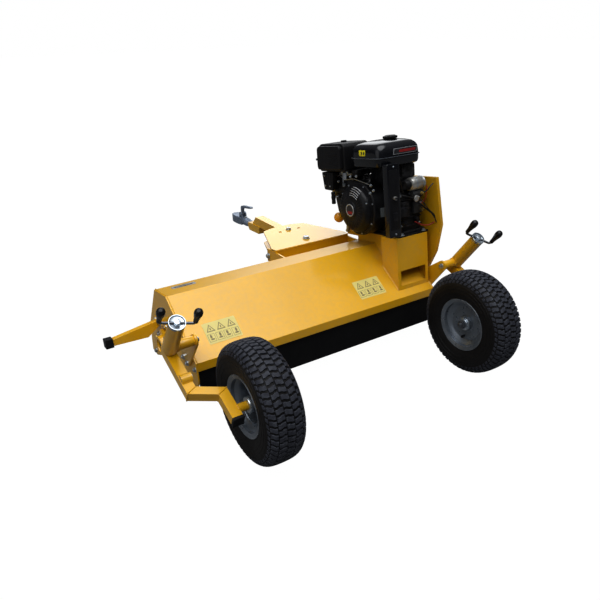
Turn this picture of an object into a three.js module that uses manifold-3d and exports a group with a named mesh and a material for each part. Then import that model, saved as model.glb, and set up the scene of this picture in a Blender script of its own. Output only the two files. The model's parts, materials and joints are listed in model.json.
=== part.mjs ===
// A towed flail brush mower: a 1.25 m deck with its own petrol engine, a swinging drawbar,
// and two trailing wheels on screw jacks. Millimetres, +Z up, +Y forwards to the drawbar,
// +X to the machine's right. The origin is on the ground under the middle of the machine's
// overall length and width. The pieces are drawn about the middle of the deck, then moved there.
import * as THREE from "three";
import { mergeVertices } from "three/addons/utils/BufferGeometryUtils.js";
import Module from "manifold-3d";

const wasm = await Module();
wasm.setup();

// ---------------------------------------------------------------- driving dimensions
const PITCH = THREE.MathUtils.degToRad(8); // the deck stands nose down by this much
const GAP = 0.4; // running gap between neighbouring pieces
const SHEET = 4; // deck sheet thickness
const DECK_HALF = 625; // half the inside width of the deck
const PLATE = 7; // end plate thickness
const END_FACE = DECK_HALF + PLATE; // outer face of an end plate

// Deck outline in the deck's own frame, as [forwards, up].
const TOP_FRONT = [193, 444];
const TOP_REAR = [51, 444];
const SLOPE_FOOT = [-188, 221];
const FLANGE_FOOT = [-186, 184];
const NOSE_FOOT = [347, 256];
const NOSE_FLANGE = [350, 214];

const ROTOR = { y: 150, z: 205, tube: 62, swing: 142, stations: 6 };
const CRANK = { y: 62, z: 632 }; // engine crankshaft
const ENGINE_FLOOR = 500; // top of the pedestal
const ENGINE_PULLEY_R = 46;
const ROTOR_PULLEY_R = 64;
const SHAFT_R = 17; // rotor shaft
const RUNNING = 0.4; // radial clearance of a shaft in its hole
const BELT_X = 690; // middle of the belt run
const IDLER = { y: 217, z: 402, r: 33 };
const LEVER = { y: 262, z: 486 }; // belt lever shaft
const KNOB = { x: 402, y: 248, z: 567, r: 26 };

const WHEEL_R = 228;
const WHEEL_X = 536;
const TYRE_HALF = 75;
const AXLE = [-512.6, 158.2]; // wheel axle in the deck frame
const ARM_DROP = THREE.MathUtils.degToRad(28.5); // wheel arm's fall below the deck's level
const ARM_SIZE = 40;
const JACK_X = 735;
const JACK_LEAN = THREE.MathUtils.degToRad(45);
const JACK_TOP = [-368, 468];
const JACK_LENGTH = 188;
const JACK_R = 30;
const BOSS_UP = 8; // height of the jack's side boss above the tube's lower end
const BRACKET_SHEET = 10;
const LUG_R = 25; // round end of the bracket that carries the jack's side boss

const HITCH_X = 247; // middle of the drawbar
const HITCH_Y = 402; // drawbar pivot
const HITCH_TOP = 423; // top face of the upper hitch plate
const HITCH_PLATE = 8;
const LOCK_REACH = 177; // pivot bolt to lock bolt
const BAR = 50; // drawbar tube
const FOOTPRINT_MIDDLE = [-40.9, 262.6]; // middle of the overall length and width, from the deck's middle

// ---------------------------------------------------------------- materials
const paint = (colour) =>
  new THREE.MeshStandardMaterial({ color: colour, roughness: 0.4, metalness: 0.1 });
const YELLOW = paint(0xd99a10);
const BLACK = new THREE.MeshStandardMaterial({ color: 0x17181b, roughness: 0.45, metalness: 0.1 });
const BLACK_PLASTIC = new THREE.MeshStandardMaterial({ color: 0x121315, roughness: 0.6, metalness: 0 });
const RUBBER = new THREE.MeshStandardMaterial({ color: 0x1b1c1f, roughness: 0.9, metalness: 0 });
const ZINC = new THREE.MeshStandardMaterial({ color: 0xb9bcbd, roughness: 0.35, metalness: 0.8 });
const RIM_GREY = new THREE.MeshStandardMaterial({ color: 0x8f9294, roughness: 0.5, metalness: 0.5 });
const CAST = new THREE.MeshStandardMaterial({ color: 0x34383c, roughness: 0.7, metalness: 0.4 });

// ---------------------------------------------------------------- solids
// A three.js geometry as a manifold-3d solid, moved by an optional matrix.
function solid(geometry, matrix) {
  const plain = new THREE.BufferGeometry();
  plain.setAttribute("position", geometry.getAttribute("position").clone());
  if (geometry.index) plain.setIndex(geometry.index.clone());
  if (matrix) plain.applyMatrix4(matrix);
  const merged = mergeVertices(plain, 1e-4);
  return new wasm.Manifold(
    new wasm.Mesh({
      numProp: 3,
      vertProperties: new Float32Array(merged.attributes.position.array),
      triVerts: new Uint32Array(merged.index.array),
    }),
  );
}

// A solid back as a geometry that a mesh can hold.
function geometryOf(made) {
  const mesh = made.getMesh();
  const geometry = new THREE.BufferGeometry();
  geometry.setAttribute("position", new THREE.BufferAttribute(new Float32Array(mesh.vertProperties), 3));
  geometry.setIndex(new THREE.BufferAttribute(new Uint32Array(mesh.triVerts), 1));
  return geometry;
}

const place = (x, y, z) => new THREE.Matrix4().makeTranslation(x, y, z);
const join = (...solids) => solids.reduce((a, b) => a.add(b));
const cut = (body, ...tools) => tools.reduce((a, b) => a.subtract(b), body);

// A box given by its lowest and highest corners.
function block(x0, x1, y0, y1, z0, z1) {
  const box = new THREE.BoxGeometry(x1 - x0, y1 - y0, z1 - z0);
  return solid(box, place((x0 + x1) / 2, (y0 + y1) / 2, (z0 + z1) / 2));
}

// A round bar along a unit direction, from a start point.
function bar(radius, length, start, direction, sides = 16) {
  const turn = new THREE.Quaternion().setFromUnitVectors(
    new THREE.Vector3(0, 1, 0),
    new THREE.Vector3(...direction).normalize(),
  );
  const middle = new THREE.Vector3(...start).addScaledVector(
    new THREE.Vector3(...direction).normalize(),
    length / 2,
  );
  const matrix = new THREE.Matrix4().compose(middle, turn, new THREE.Vector3(1, 1, 1));
  return solid(new THREE.CylinderGeometry(radius, radius, length, sides), matrix);
}
const barX = (radius, x0, x1, y, z, sides) => bar(radius, x1 - x0, [x0, y, z], [1, 0, 0], sides);
const barY = (radius, y0, y1, x, z, sides) => bar(radius, y1 - y0, [x, y0, z], [0, 1, 0], sides);
const barZ = (radius, z0, z1, x, y, sides) => bar(radius, z1 - z0, [x, y, z0], [0, 0, 1], sides);

function shapeOf(points) {
  return points instanceof THREE.Shape
    ? points
    : new THREE.Shape(points.map(([a, b]) => new THREE.Vector2(a, b)));
}

// A side outline [forwards, up] drawn out along X.
function slabX(points, x0, x1) {
  const body = new THREE.ExtrudeGeometry(shapeOf(points), {
    depth: x1 - x0,
    bevelEnabled: false,
    curveSegments: 10,
  });
  const axes = new THREE.Matrix4().makeBasis(
    new THREE.Vector3(0, 1, 0),
    new THREE.Vector3(0, 0, 1),
    new THREE.Vector3(1, 0, 0),
  );
  return solid(body, axes.setPosition(x0, 0, 0));
}

// A plan outline [right, forwards] drawn up along Z.
function slabZ(points, z0, z1) {
  const body = new THREE.ExtrudeGeometry(shapeOf(points), {
    depth: z1 - z0,
    bevelEnabled: false,
    curveSegments: 10,
  });
  return solid(body, place(0, 0, z0));
}

// A front outline [right, up] drawn out along Y.
function slabY(points, y0, y1) {
  const body = new THREE.ExtrudeGeometry(shapeOf(points), { depth: y1 - y0, bevelEnabled: false });
  const axes = new THREE.Matrix4().makeBasis(
    new THREE.Vector3(1, 0, 0),
    new THREE.Vector3(0, 0, 1),
    new THREE.Vector3(0, -1, 0),
  );
  return solid(body, axes.setPosition(0, y1, 0));
}

// A profile of [along, radius] points turned about the X axis through (y, z).
function turned(profile, y, z, sides = 28) {
  const points = profile.map(([along, radius]) => new THREE.Vector2(radius, along));
  const axes = new THREE.Matrix4().makeBasis(
    new THREE.Vector3(0, 1, 0),
    new THREE.Vector3(1, 0, 0),
    new THREE.Vector3(0, 0, -1),
  );
  return solid(new THREE.LatheGeometry(points, sides), axes.setPosition(0, y, z));
}

// A box with rounded upright corners.
function roundedBlock(x0, x1, y0, y1, z0, z1, radius) {
  const shape = new THREE.Shape();
  shape.moveTo(x0 + radius, y0);
  shape.lineTo(x1 - radius, y0);
  shape.absarc(x1 - radius, y0 + radius, radius, -Math.PI / 2, 0, false);
  shape.lineTo(x1, y1 - radius);
  shape.absarc(x1 - radius, y1 - radius, radius, 0, Math.PI / 2, false);
  shape.lineTo(x0 + radius, y1);
  shape.absarc(x0 + radius, y1 - radius, radius, Math.PI / 2, Math.PI, false);
  shape.lineTo(x0, y0 + radius);
  shape.absarc(x0 + radius, y0 + radius, radius, Math.PI, 1.5 * Math.PI, false);
  const body = new THREE.ExtrudeGeometry(shape, { depth: z1 - z0, bevelEnabled: false, curveSegments: 3 });
  return solid(body, place(0, 0, z0));
}

// A hexagon bolt head with its axis along X, standing out from face x in the given sense.
function headX(x, sense, y, z, across = 18, height = 9) {
  const start = sense > 0 ? x : x - height;
  return barX(across / 2, start, start + height, y, z, 6);
}

// ---------------------------------------------------------------- scene graph
const machine = new THREE.Group();
const deck = new THREE.Group(); // everything that pitches with the deck
deck.rotation.x = -PITCH;
const level = new THREE.Group(); // everything that stays level
machine.add(deck, level);
machine.position.set(-FOOTPRINT_MIDDLE[0], -FOOTPRINT_MIDDLE[1], 0);

function add(group, name, made, material) {
  const mesh = new THREE.Mesh(geometryOf(made), material);
  mesh.name = name;
  group.add(mesh);
}

// A point of the deck frame as [forwards, up] in the level frame.
function levelled([y, z]) {
  const c = Math.cos(PITCH);
  const s = Math.sin(PITCH);
  return [y * c + z * s, -y * s + z * c];
}

const SIDES = [
  ["left", -1],
  ["right", 1],
];
// Mirrors a solid that was made on the machine's right side to the asked side.
const onSide = (made, side) => (side > 0 ? made : made.mirror([1, 0, 0]));

// ---------------------------------------------------------------- deck
function deckShell() {
  const outer = [FLANGE_FOOT, SLOPE_FOOT, TOP_REAR, TOP_FRONT, NOSE_FOOT, NOSE_FLANGE];
  const inner = [
    [NOSE_FLANGE[0] - SHEET, NOSE_FLANGE[1]],
    [NOSE_FOOT[0] - SHEET, NOSE_FOOT[1] - 1],
    [TOP_FRONT[0] - 2, TOP_FRONT[1] - SHEET],
    [TOP_REAR[0] + 2, TOP_REAR[1] - SHEET],
    [SLOPE_FOOT[0] + SHEET, SLOPE_FOOT[1] - 2],
    [FLANGE_FOOT[0] + SHEET, FLANGE_FOOT[1]],
  ];
  return slabX([...outer, ...inner].reverse(), -DECK_HALF, DECK_HALF);
}

function endPlateOutline() {
  const shape = new THREE.Shape();
  shape.moveTo(330, 93);
  shape.lineTo(386, 106);
  shape.lineTo(374, 168);
  shape.lineTo(...NOSE_FOOT);
  shape.lineTo(...TOP_FRONT);
  shape.lineTo(...TOP_REAR);
  shape.lineTo(...SLOPE_FOOT);
  shape.lineTo(-186, 150);
  shape.quadraticCurveTo(-182, 112, -140, 112);
  shape.lineTo(-105, 58);
  shape.lineTo(42, 56);
  shape.lineTo(192, 133);
  shape.closePath();
  return shape;
}

function endPlate() {
  const plate = slabX(endPlateOutline(), DECK_HALF + GAP / 2, END_FACE);
  const runner = slabX(
    [
      [-105, 58],
      [42, 56],
      [48, 66],
      [-100, 67],
    ],
    DECK_HALF - 34,
    END_FACE,
  );
  const bearingHole = barX(36, DECK_HALF - 5, END_FACE + 5, ROTOR.y, ROTOR.z);
  return cut(join(plate, runner), bearingHole);
}

// Rubber flap that hangs from a hinge line, as [forwards, up] of its hinge and its foot.
function flap(hinge, foot) {
  const dy = foot[0] - hinge[0];
  const dz = foot[1] - hinge[1];
  const length = Math.hypot(dy, dz);
  const ny = (-dz / length) * 3;
  const nz = (dy / length) * 3;
  const sheet = slabX(
    [
      [hinge[0] + ny, hinge[1] + nz],
      [hinge[0] - ny, hinge[1] - nz],
      [foot[0] - ny, foot[1] - nz],
      [foot[0] + ny, foot[1] + nz],
    ],
    -DECK_HALF + 6,
    DECK_HALF - 6,
  );
  return join(sheet, barX(6, -DECK_HALF + 6, DECK_HALF - 6, ...hinge, 12));
}
const REAR_HINGE = [-172, 192];
const REAR_FOOT = [-150, 44];
const FRONT_HINGE = [336, 222];
const FRONT_FOOT = [338, 104];

function pedestal() {
  const outline = [
    [432, -160],
    [624, -160],
    [624, 188],
    [470, 188],
    [470, -45],
    [432, -45],
  ];
  const inside = [
    [432 + SHEET, -160 + SHEET],
    [624 - SHEET, -160 + SHEET],
    [624 - SHEET, 188 - SHEET],
    [470 + SHEET, 188 - SHEET],
    [470 + SHEET, -45 - SHEET],
    [432 + SHEET, -45 - SHEET],
  ];
  const deckVolume = slabX(
    [
      [SLOPE_FOOT[0], 0],
      [SLOPE_FOOT[0], SLOPE_FOOT[1] + 2 * GAP],
      [TOP_REAR[0], TOP_REAR[1] + 2 * GAP],
      [TOP_FRONT[0] + 40, TOP_FRONT[1] + 2 * GAP],
      [TOP_FRONT[0] + 40, 0],
    ].reverse(),
    400,
    700,
  );
  const shell = cut(slabZ(outline, 200, ENGINE_FLOOR), slabZ(inside, 190, ENGINE_FLOOR - 6), deckVolume);
  const window = block(450, 606, -170, -150, 268, 340);
  const lug = block(470, 476, 180, LEVER.y + 16, LEVER.z - 22, ENGINE_FLOOR);
  return cut(join(shell, lug), window, barX(8 + RUNNING, 460, 490, LEVER.y, LEVER.z));
}

function sideGuide() {
  const beam = slabY(
    [
      [END_FACE + GAP, 286],
      [END_FACE + 62, 243],
      [850, 248],
      [850, 276],
      [END_FACE + GAP, 308],
    ],
    186,
    216,
  );
  const foot = block(END_FACE + GAP, END_FACE + 7, 78, 240, 286, 314);
  const bolts = [
    [228, 300],
    [174, 300],
    [134, 300],
    [94, 300],
  ].map(([y, z]) => headX(END_FACE + 7, 1, y, z));
  return join(beam, foot, ...bolts);
}

function guideCap() {
  const cap = block(845, 878, 181, 221, 243, 282);
  const socket = slabY(
    [
      [800, 247],
      [851, 247],
      [851, 277],
      [800, 277],
    ],
    185,
    217,
  );
  return cut(cap, socket);
}

function bearingHousing() {
  const flange = turned(
    [
      [END_FACE + GAP, 0],
      [END_FACE + GAP, 70],
      [END_FACE + 12, 70],
      [END_FACE + 14, 46],
      [END_FACE + 34, 42],
      [END_FACE + 34, 0],
    ],
    ROTOR.y,
    ROTOR.z,
    24,
  );
  const bolts = [45, 135, 225, 315].map((degrees) => {
    const angle = THREE.MathUtils.degToRad(degrees);
    return headX(END_FACE + 11, 1, ROTOR.y + 57 * Math.cos(angle), ROTOR.z + 57 * Math.sin(angle));
  });
  return cut(join(flange, ...bolts), barX(SHAFT_R + RUNNING, END_FACE - 5, END_FACE + 50, ROTOR.y, ROTOR.z));
}

// ---------------------------------------------------------------- rotor and belt drive
function flailRotor() {
  const end = DECK_HALF - 12;
  let made = cut(
    barX(ROTOR.tube, -end, end, ROTOR.y, ROTOR.z, 24),
    barX(ROTOR.tube - 8, 12 - end, end - 12, ROTOR.y, ROTOR.z, 20),
    barX(10, -end - 5, 20 - end, ROTOR.y, ROTOR.z + 36, 10),
    barX(10, end - 20, end + 5, ROTOR.y, ROTOR.z + 36, 10),
  );
  made = join(
    made,
    barX(SHAFT_R, -END_FACE - 26, -end + 4, ROTOR.y, ROTOR.z),
    barX(SHAFT_R, end - 4, BELT_X + 24, ROTOR.y, ROTOR.z),
  );
  for (let i = 0; i < ROTOR.stations; i += 1) {
    const x = -565 + (i * 1130) / (ROTOR.stations - 1);
    const turn = new THREE.Matrix4()
      .makeTranslation(x, ROTOR.y, ROTOR.z)
      .multiply(new THREE.Matrix4().makeRotationX((i * 2 * Math.PI * 3) / ROTOR.stations));
    [0, Math.PI].forEach((half) => {
      const spin = turn.clone().multiply(new THREE.Matrix4().makeRotationX(half));
      const lug = new THREE.BoxGeometry(14, 22, 44);
      const hammer = new THREE.BoxGeometry(52, 18, 62);
      made = join(made, solid(lug, spin.clone().multiply(place(0, 0, ROTOR.tube + 15))));
      made = join(made, solid(hammer, spin.clone().multiply(place(0, 0, ROTOR.swing - 33))));
    });
  }
  return made;
}

// A V pulley whose groove floor has the given radius.
function pulley(floor, bore, at) {
  const rim = floor + 16;
  const wheel = turned(
    [
      [BELT_X - 17, 0],
      [BELT_X - 17, rim],
      [BELT_X - 14, rim],
      [BELT_X - 9, floor],
      [BELT_X + 9, floor],
      [BELT_X + 14, rim],
      [BELT_X + 17, rim],
      [BELT_X + 17, 0],
    ],
    at.y,
    at.z,
    24,
  );
  return cut(wheel, barX(bore, BELT_X - 20, BELT_X + 20, at.y, at.z));
}

// A belt round the two pulleys, as a closed band with flat sides.
function driveBelt() {
  const dy = ROTOR.y - CRANK.y;
  const dz = ROTOR.z - CRANK.z;
  const span = Math.hypot(dy, dz);
  const heading = Math.atan2(dz, dy);
  const spread = Math.acos((ENGINE_PULLEY_R - ROTOR_PULLEY_R) / span);
  const outline = (grow) => {
    const shape = new THREE.Shape();
    shape.absarc(
      CRANK.y, CRANK.z, ENGINE_PULLEY_R + grow, heading + spread, heading + 2 * Math.PI - spread, false,
    );
    shape.absarc(ROTOR.y, ROTOR.z, ROTOR_PULLEY_R + grow, heading - spread, heading + spread, false);
    shape.closePath();
    return shape;
  };
  return cut(
    slabX(outline(9), BELT_X - 8, BELT_X + 8),
    slabX(outline(-1), BELT_X - 9, BELT_X + 9),
  );
}

function idlerPulley() {
  const roller = barX(IDLER.r, BELT_X - 11, BELT_X + 11, IDLER.y, IDLER.z, 28);
  return cut(roller, barX(6.3, BELT_X - 20, BELT_X + 20, IDLER.y, IDLER.z));
}

const GUARD_BACK = [
  [-200, 756],
  [-223, 534],
  [-184, 401],
  [-52, 190],
  [40, 108],
  [262, 108],
  [318, 200],
  [318, 520],
  [190, 756],
];
const GUARD_COVER = [
  [-126, 742],
  [-146, 512],
  [-112, 400],
  [-30, 205],
  [52, 122],
  [250, 122],
  [304, 210],
  [304, 512],
  [180, 742],
];

// The outline drawn in by a distance towards its own middle.
function shrunk(points, distance) {
  const cy = points.reduce((sum, p) => sum + p[0], 0) / points.length;
  const cz = points.reduce((sum, p) => sum + p[1], 0) / points.length;
  return points.map(([y, z]) => {
    const length = Math.hypot(y - cy, z - cz);
    return [y - ((y - cy) * distance) / length, z - ((z - cz) * distance) / length];
  });
}

const GUARD_X = 652; // inner face of the belt guard
function guardBack() {
  const tray = cut(
    slabX([...GUARD_BACK].reverse(), GUARD_X, GUARD_X + 16),
    slabX(shrunk(GUARD_BACK, 4).reverse(), GUARD_X + 3, GUARD_X + 20),
  );
  return cut(
    tray,
    barX(34, GUARD_X - 5, GUARD_X + 5, CRANK.y, CRANK.z),
    barX(46, GUARD_X - 5, GUARD_X + 5, ROTOR.y, ROTOR.z),
    barX(8 + RUNNING, GUARD_X - 5, GUARD_X + 5, LEVER.y, LEVER.z),
  );
}

function guardCover() {
  return cut(
    slabX([...GUARD_COVER].reverse(), GUARD_X + 3 + GAP, 728),
    slabX(shrunk(GUARD_COVER, 4).reverse(), GUARD_X, 725),
  );
}

const HANDLE_X = 460; // where the lever's handle rises from its shaft
const HANDLE_R = 7;
function beltLever() {
  const shaft = barX(8, HANDLE_X - HANDLE_R, GUARD_X + 12, LEVER.y, LEVER.z, 16);
  const rise = [0, KNOB.y - LEVER.y, KNOB.z - LEVER.z];
  const upright = bar(HANDLE_R, Math.hypot(...rise) + 4, [HANDLE_X, LEVER.y, LEVER.z], rise, 12);
  const handle = join(upright, barX(HANDLE_R, KNOB.x - 12, HANDLE_X + HANDLE_R, KNOB.y, KNOB.z, 12));
  const arm = slabX(
    [
      [LEVER.y + 13, LEVER.z - 4],
      [LEVER.y - 2, LEVER.z + 13],
      [IDLER.y - 13, IDLER.z + 8],
      [IDLER.y + 6, IDLER.z - 14],
    ],
    GUARD_X + 6,
    GUARD_X + 12,
  );
  const stud = barX(6, GUARD_X + 8, BELT_X + 14, IDLER.y, IDLER.z, 16);
  return join(shaft, handle, arm, stud);
}

function leverKnob() {
  const ball = solid(new THREE.SphereGeometry(KNOB.r, 14, 10), place(KNOB.x, KNOB.y, KNOB.z));
  return cut(ball, barX(HANDLE_R + GAP, KNOB.x - 14, KNOB.x + 40, KNOB.y, KNOB.z, 12));
}

// ---------------------------------------------------------------- engine
const CRANKSHAFT_R = 12.5;
const TANK_FLOOR = 832;
const CAP_FLOOR = 949;
const PANEL_FRONT = -164; // the control box's side towards the engine
const PANEL_DEPTH = 32;
function engineBlock() {
  const base = roundedBlock(446, 640, -157, 150, ENGINE_FLOOR + GAP, ENGINE_FLOOR + 16, 14);
  const crankcase = roundedBlock(470, 626, -128, 118, ENGINE_FLOOR + 10, 706, 24);
  const barrel = new THREE.Matrix4()
    .makeTranslation(546, 110, 640)
    .multiply(new THREE.Matrix4().makeRotationX(THREE.MathUtils.degToRad(25)));
  let made = join(base, crankcase);
  made = join(made, solid(new THREE.BoxGeometry(112, 170, 104), barrel.clone().multiply(place(0, 60, 10))));
  for (let i = 0; i < 6; i += 1) {
    const fin = new THREE.BoxGeometry(150, 6, 140);
    made = join(made, solid(fin, barrel.clone().multiply(place(0, 40 + i * 17, 10))));
  }
  const tankBracket = block(474, 600, -108, 58, 700, TANK_FLOOR - GAP);
  const panelBracket = block(420, 500, PANEL_FRONT + GAP, -126, 596, 640);
  made = join(made, tankBracket, panelBracket, barX(36, 620, GUARD_X - 2, CRANK.y, CRANK.z));
  return cut(made, barX(CRANKSHAFT_R + RUNNING, 600, GUARD_X + 5, CRANK.y, CRANK.z));
}

function valveCover() {
  const turn = new THREE.Matrix4()
    .makeTranslation(546, 110, 640)
    .multiply(new THREE.Matrix4().makeRotationX(THREE.MathUtils.degToRad(25)));
  const cover = solid(new THREE.BoxGeometry(104, 34, 92), turn.clone().multiply(place(0, 162.4, 10)));
  const ridge = solid(new THREE.BoxGeometry(60, 8, 60), turn.clone().multiply(place(0, 182, 10)));
  return join(cover, ridge);
}

// The pressed cowl round the flywheel fan, drawn up over the cylinder.
function fanHousing() {
  const outline = new THREE.Shape();
  outline.absarc(CRANK.y, CRANK.z, 132, THREE.MathUtils.degToRad(75), THREE.MathUtils.degToRad(330), false);
  outline.lineTo(226, 600);
  outline.lineTo(252, 700);
  outline.lineTo(236, 790);
  outline.lineTo(120, 800);
  outline.closePath();
  const inside = new THREE.Shape();
  inside.absarc(CRANK.y, CRANK.z, 126, THREE.MathUtils.degToRad(75), THREE.MathUtils.degToRad(330), false);
  inside.lineTo(220, 605);
  inside.lineTo(246, 700);
  inside.lineTo(231, 784);
  inside.lineTo(122, 794);
  inside.closePath();
  const cowl = cut(slabX(outline, 384, 468 - GAP), slabX(inside, 390, 470));
  return cut(cowl, block(440, 480, -200, 300, 480, ENGINE_FLOOR + 17));
}

function recoilCover() {
  const profile = [
    [384 - GAP, 0],
    [384 - GAP, 114],
    [366, 112],
    [350, 96],
    [344, 60],
    [342, 0],
  ];
  const dish = turned([...profile].reverse(), CRANK.y, CRANK.z, 28);
  const hub = barX(40, 336, 344, CRANK.y, CRANK.z, 20);
  return join(dish, hub);
}

function recoilGrip() {
  const handle = barZ(11, 652, 712, 338, 192, 16);
  const stem = barX(8, 338, 384 - GAP, 192, 684, 12);
  return join(handle, stem);
}

function fuelTank() {
  const body = roundedBlock(356, 606, -156, 62, TANK_FLOOR, 926, 34);
  const crown = roundedBlock(374, 590, -138, 46, 920, 948, 28);
  const seam = roundedBlock(352, 610, -160, 66, 872, 878, 36);
  const neck = barZ(26, 940, CAP_FLOOR - GAP, 505, -60);
  return join(body, crown, seam, neck);
}

function fuelCap() {
  return join(barZ(34, CAP_FLOOR, CAP_FLOOR + 11, 505, -60, 28), barZ(26, CAP_FLOOR + 10, 963, 505, -60, 24));
}

function throttleLever() {
  return join(barX(9, 372, 384 - GAP, 150, 742, 16), block(372, 376, 146, 154, 740, 790));
}

function controlBox() {
  return roundedBlock(362, 434, PANEL_FRONT - PANEL_DEPTH, PANEL_FRONT, 520, 852, 6);
}

function ignitionKey() {
  const face = PANEL_FRONT - PANEL_DEPTH - GAP;
  const barrel = barY(9, face - 12, face, 398, 700, 16);
  return join(barrel, block(388, 408, face - 26, face - 10, 697, 703));
}

function oilDipstick() {
  return join(barY(13, -152, -129, 500, 560, 16), block(488, 512, -160, -150, 556, 564));
}

function airCleaner() {
  const outline = [
    [90, 812],
    [300, 806],
    [308, 830],
    [304, 926],
    [286, 940],
    [110, 944],
    [90, 928],
  ];
  return slabX([...outline].reverse(), 326, 500);
}

function airDuct() {
  const bracket = [
    [204, 718],
    [276, 722],
    [290, 805],
    [192, 805],
  ];
  return slabX([...bracket].reverse(), 345, 383);
}

function carburettor() {
  const body = block(392, 452, 256, 312, 716, 770);
  const bowl = barZ(20, 690, 720, 422, 287, 20);
  return join(body, bowl, barY(16, 255, 300, 430, 745, 16), barZ(22, 765, 804, 422, 283, 16));
}

function muffler() {
  const can = roundedBlock(512, 632, 176, 296, 770, 868, 26);
  const pipe = bar(15, 50, [600, 290, 800], [0.2, 0.9, -0.4], 16);
  return join(can, pipe);
}

function starterMotor() {
  const can = barX(31, 530, 614, -146, 738, 28);
  const nose = barX(22, 502, 532, -146, 738, 20);
  const solenoid = barX(16, 540, 610, -150, 692, 16);
  const clamp = block(556, 600, -158, -134, 672, 738);
  return join(can, nose, solenoid, clamp);
}

// ---------------------------------------------------------------- jacks and wheels
const JACK_UP = [-Math.sin(JACK_LEAN), Math.cos(JACK_LEAN)];
// A point on the jack's axis, measured up from the lower end of its tube.
function jackPoint(up) {
  const fall = JACK_LENGTH - up;
  return [JACK_TOP[0] - JACK_UP[0] * fall, JACK_TOP[1] - JACK_UP[1] * fall];
}
const JACK_AXIS = [0, ...JACK_UP];
const alongJack = (radius, from, to, sides) =>
  bar(radius, to - from, [JACK_X, ...jackPoint(from)], JACK_AXIS, sides);

// Bracket plate bolted to the end plate, with its round end about the jack's side boss.
function jackBracket() {
  const [bossY, bossZ] = jackPoint(BOSS_UP);
  const shape = new THREE.Shape();
  shape.moveTo(-56, 278);
  shape.lineTo(-122, 306);
  shape.absarc(bossY, bossZ, LUG_R, THREE.MathUtils.degToRad(50), THREE.MathUtils.degToRad(235), false);
  shape.lineTo(-128, 194);
  shape.lineTo(-74, 204);
  shape.closePath();
  return slabX(shape, END_FACE + GAP, END_FACE + BRACKET_SHEET);
}

function jackTube() {
  const boss = barX(20, END_FACE + BRACKET_SHEET - 2, JACK_X - JACK_R + 6, ...jackPoint(BOSS_UP), 20);
  const tube = join(alongJack(JACK_R, 0, JACK_LENGTH, 24), boss, jackBracket());
  return cut(tube, alongJack(25, -5, JACK_LENGTH + 5, 20));
}

const CRANK_TURN = { left: 18, right: 42 }; // resting turn of each crank, degrees from crosswise
const CRANK_REACH = 62;
function crankFrame(side) {
  const [y, z] = jackPoint(JACK_LENGTH);
  const up = new THREE.Vector3(0, ...JACK_UP);
  const turn = THREE.MathUtils.degToRad(CRANK_TURN[side]);
  const across = new THREE.Vector3(1, 0, 0)
    .multiplyScalar(Math.cos(turn))
    .addScaledVector(new THREE.Vector3(0, -JACK_UP[1], JACK_UP[0]), Math.sin(turn));
  return { origin: new THREE.Vector3(JACK_X * (side === "left" ? -1 : 1), y, z), up, across };
}

function jackCrank(side) {
  const { origin, up, across } = crankFrame(side);
  const at = (reach, rise) => origin.clone().addScaledVector(across, reach).addScaledVector(up, rise);
  const cap = bar(31, 12, at(0, GAP).toArray(), up.toArray(), 24);
  const dome = bar(16, 12, at(0, 10).toArray(), up.toArray(), 16);
  const screw = bar(8, 150, at(0, -146).toArray(), up.toArray(), 12);
  const rods = [-1, 1].flatMap((sense) => [
    bar(5, CRANK_REACH, at(0, 7).toArray(), across.clone().multiplyScalar(sense).toArray(), 8),
    bar(5, 30, at(sense * CRANK_REACH, 3).toArray(), up.toArray(), 8),
  ]);
  return join(cap, dome, screw, ...rods);
}

function crankGrip(side, sense) {
  const { origin, up, across } = crankFrame(side);
  const start = origin.clone().addScaledVector(across, sense * CRANK_REACH).addScaledVector(up, 18);
  const profile = [
    [0, 0],
    [9, 0],
    [9, 10],
    [15.5, 58],
    [14, 72],
    [6, 78],
    [0, 78],
  ].map(([radius, rise]) => new THREE.Vector2(radius, rise));
  const turn = new THREE.Quaternion().setFromUnitVectors(new THREE.Vector3(0, 1, 0), up);
  const matrix = new THREE.Matrix4().compose(start, turn, new THREE.Vector3(1, 1, 1));
  const grip = solid(new THREE.LatheGeometry(profile, 14), matrix);
  const bore = bar(5.4, 20, start.clone().addScaledVector(up, -5).toArray(), up.toArray(), 8);
  return cut(grip, bore);
}

// The wheel arm's own frame: X stays, s runs rearwards down the arm and n stands off it.
const ARM_FRAME = new THREE.Matrix4().makeBasis(
  new THREE.Vector3(1, 0, 0),
  new THREE.Vector3(0, -Math.cos(ARM_DROP), -Math.sin(ARM_DROP)),
  new THREE.Vector3(0, Math.sin(ARM_DROP), -Math.cos(ARM_DROP)),
).setPosition(0, ...AXLE);
const ARM_TOP = -10; // the arm's upper face lies this far above the axle, so it is negative here
const ARM_INNER = 616;
const ARM_OUTER = JACK_X - ARM_SIZE / 2;

function wheelArm() {
  const outline = [
    [ARM_OUTER + ARM_SIZE, -362],
    [ARM_OUTER + ARM_SIZE, -121],
    [ARM_INNER + ARM_SIZE, -76],
    [ARM_INNER + ARM_SIZE, 34],
    [ARM_INNER, 34],
    [ARM_INNER, -95],
    [ARM_OUTER, -140],
    [ARM_OUTER, -362],
  ].reverse();
  const beam = solid(
    new THREE.ExtrudeGeometry(shapeOf(outline), { depth: ARM_SIZE, bevelEnabled: false }),
    ARM_FRAME.clone().multiply(place(0, 0, ARM_TOP)),
  );
  const [bushY, bushZ] = armPoint(-185, ARM_TOP);
  const bush = barX(19, ARM_OUTER - 3, ARM_OUTER + ARM_SIZE - 2, bushY, bushZ, 24);
  const axleBoss = barX(17, WHEEL_X + 47, ARM_INNER + 4, ...AXLE, 20);
  const axle = barX(10, 470, 604, ...AXLE, 20);
  const post = cut(alongJack(20.5, -46, JACK_LENGTH - 24, 20), alongJack(11, 10, JACK_LENGTH, 12));
  return join(beam, bush, axleBoss, axle, post);
}

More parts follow.
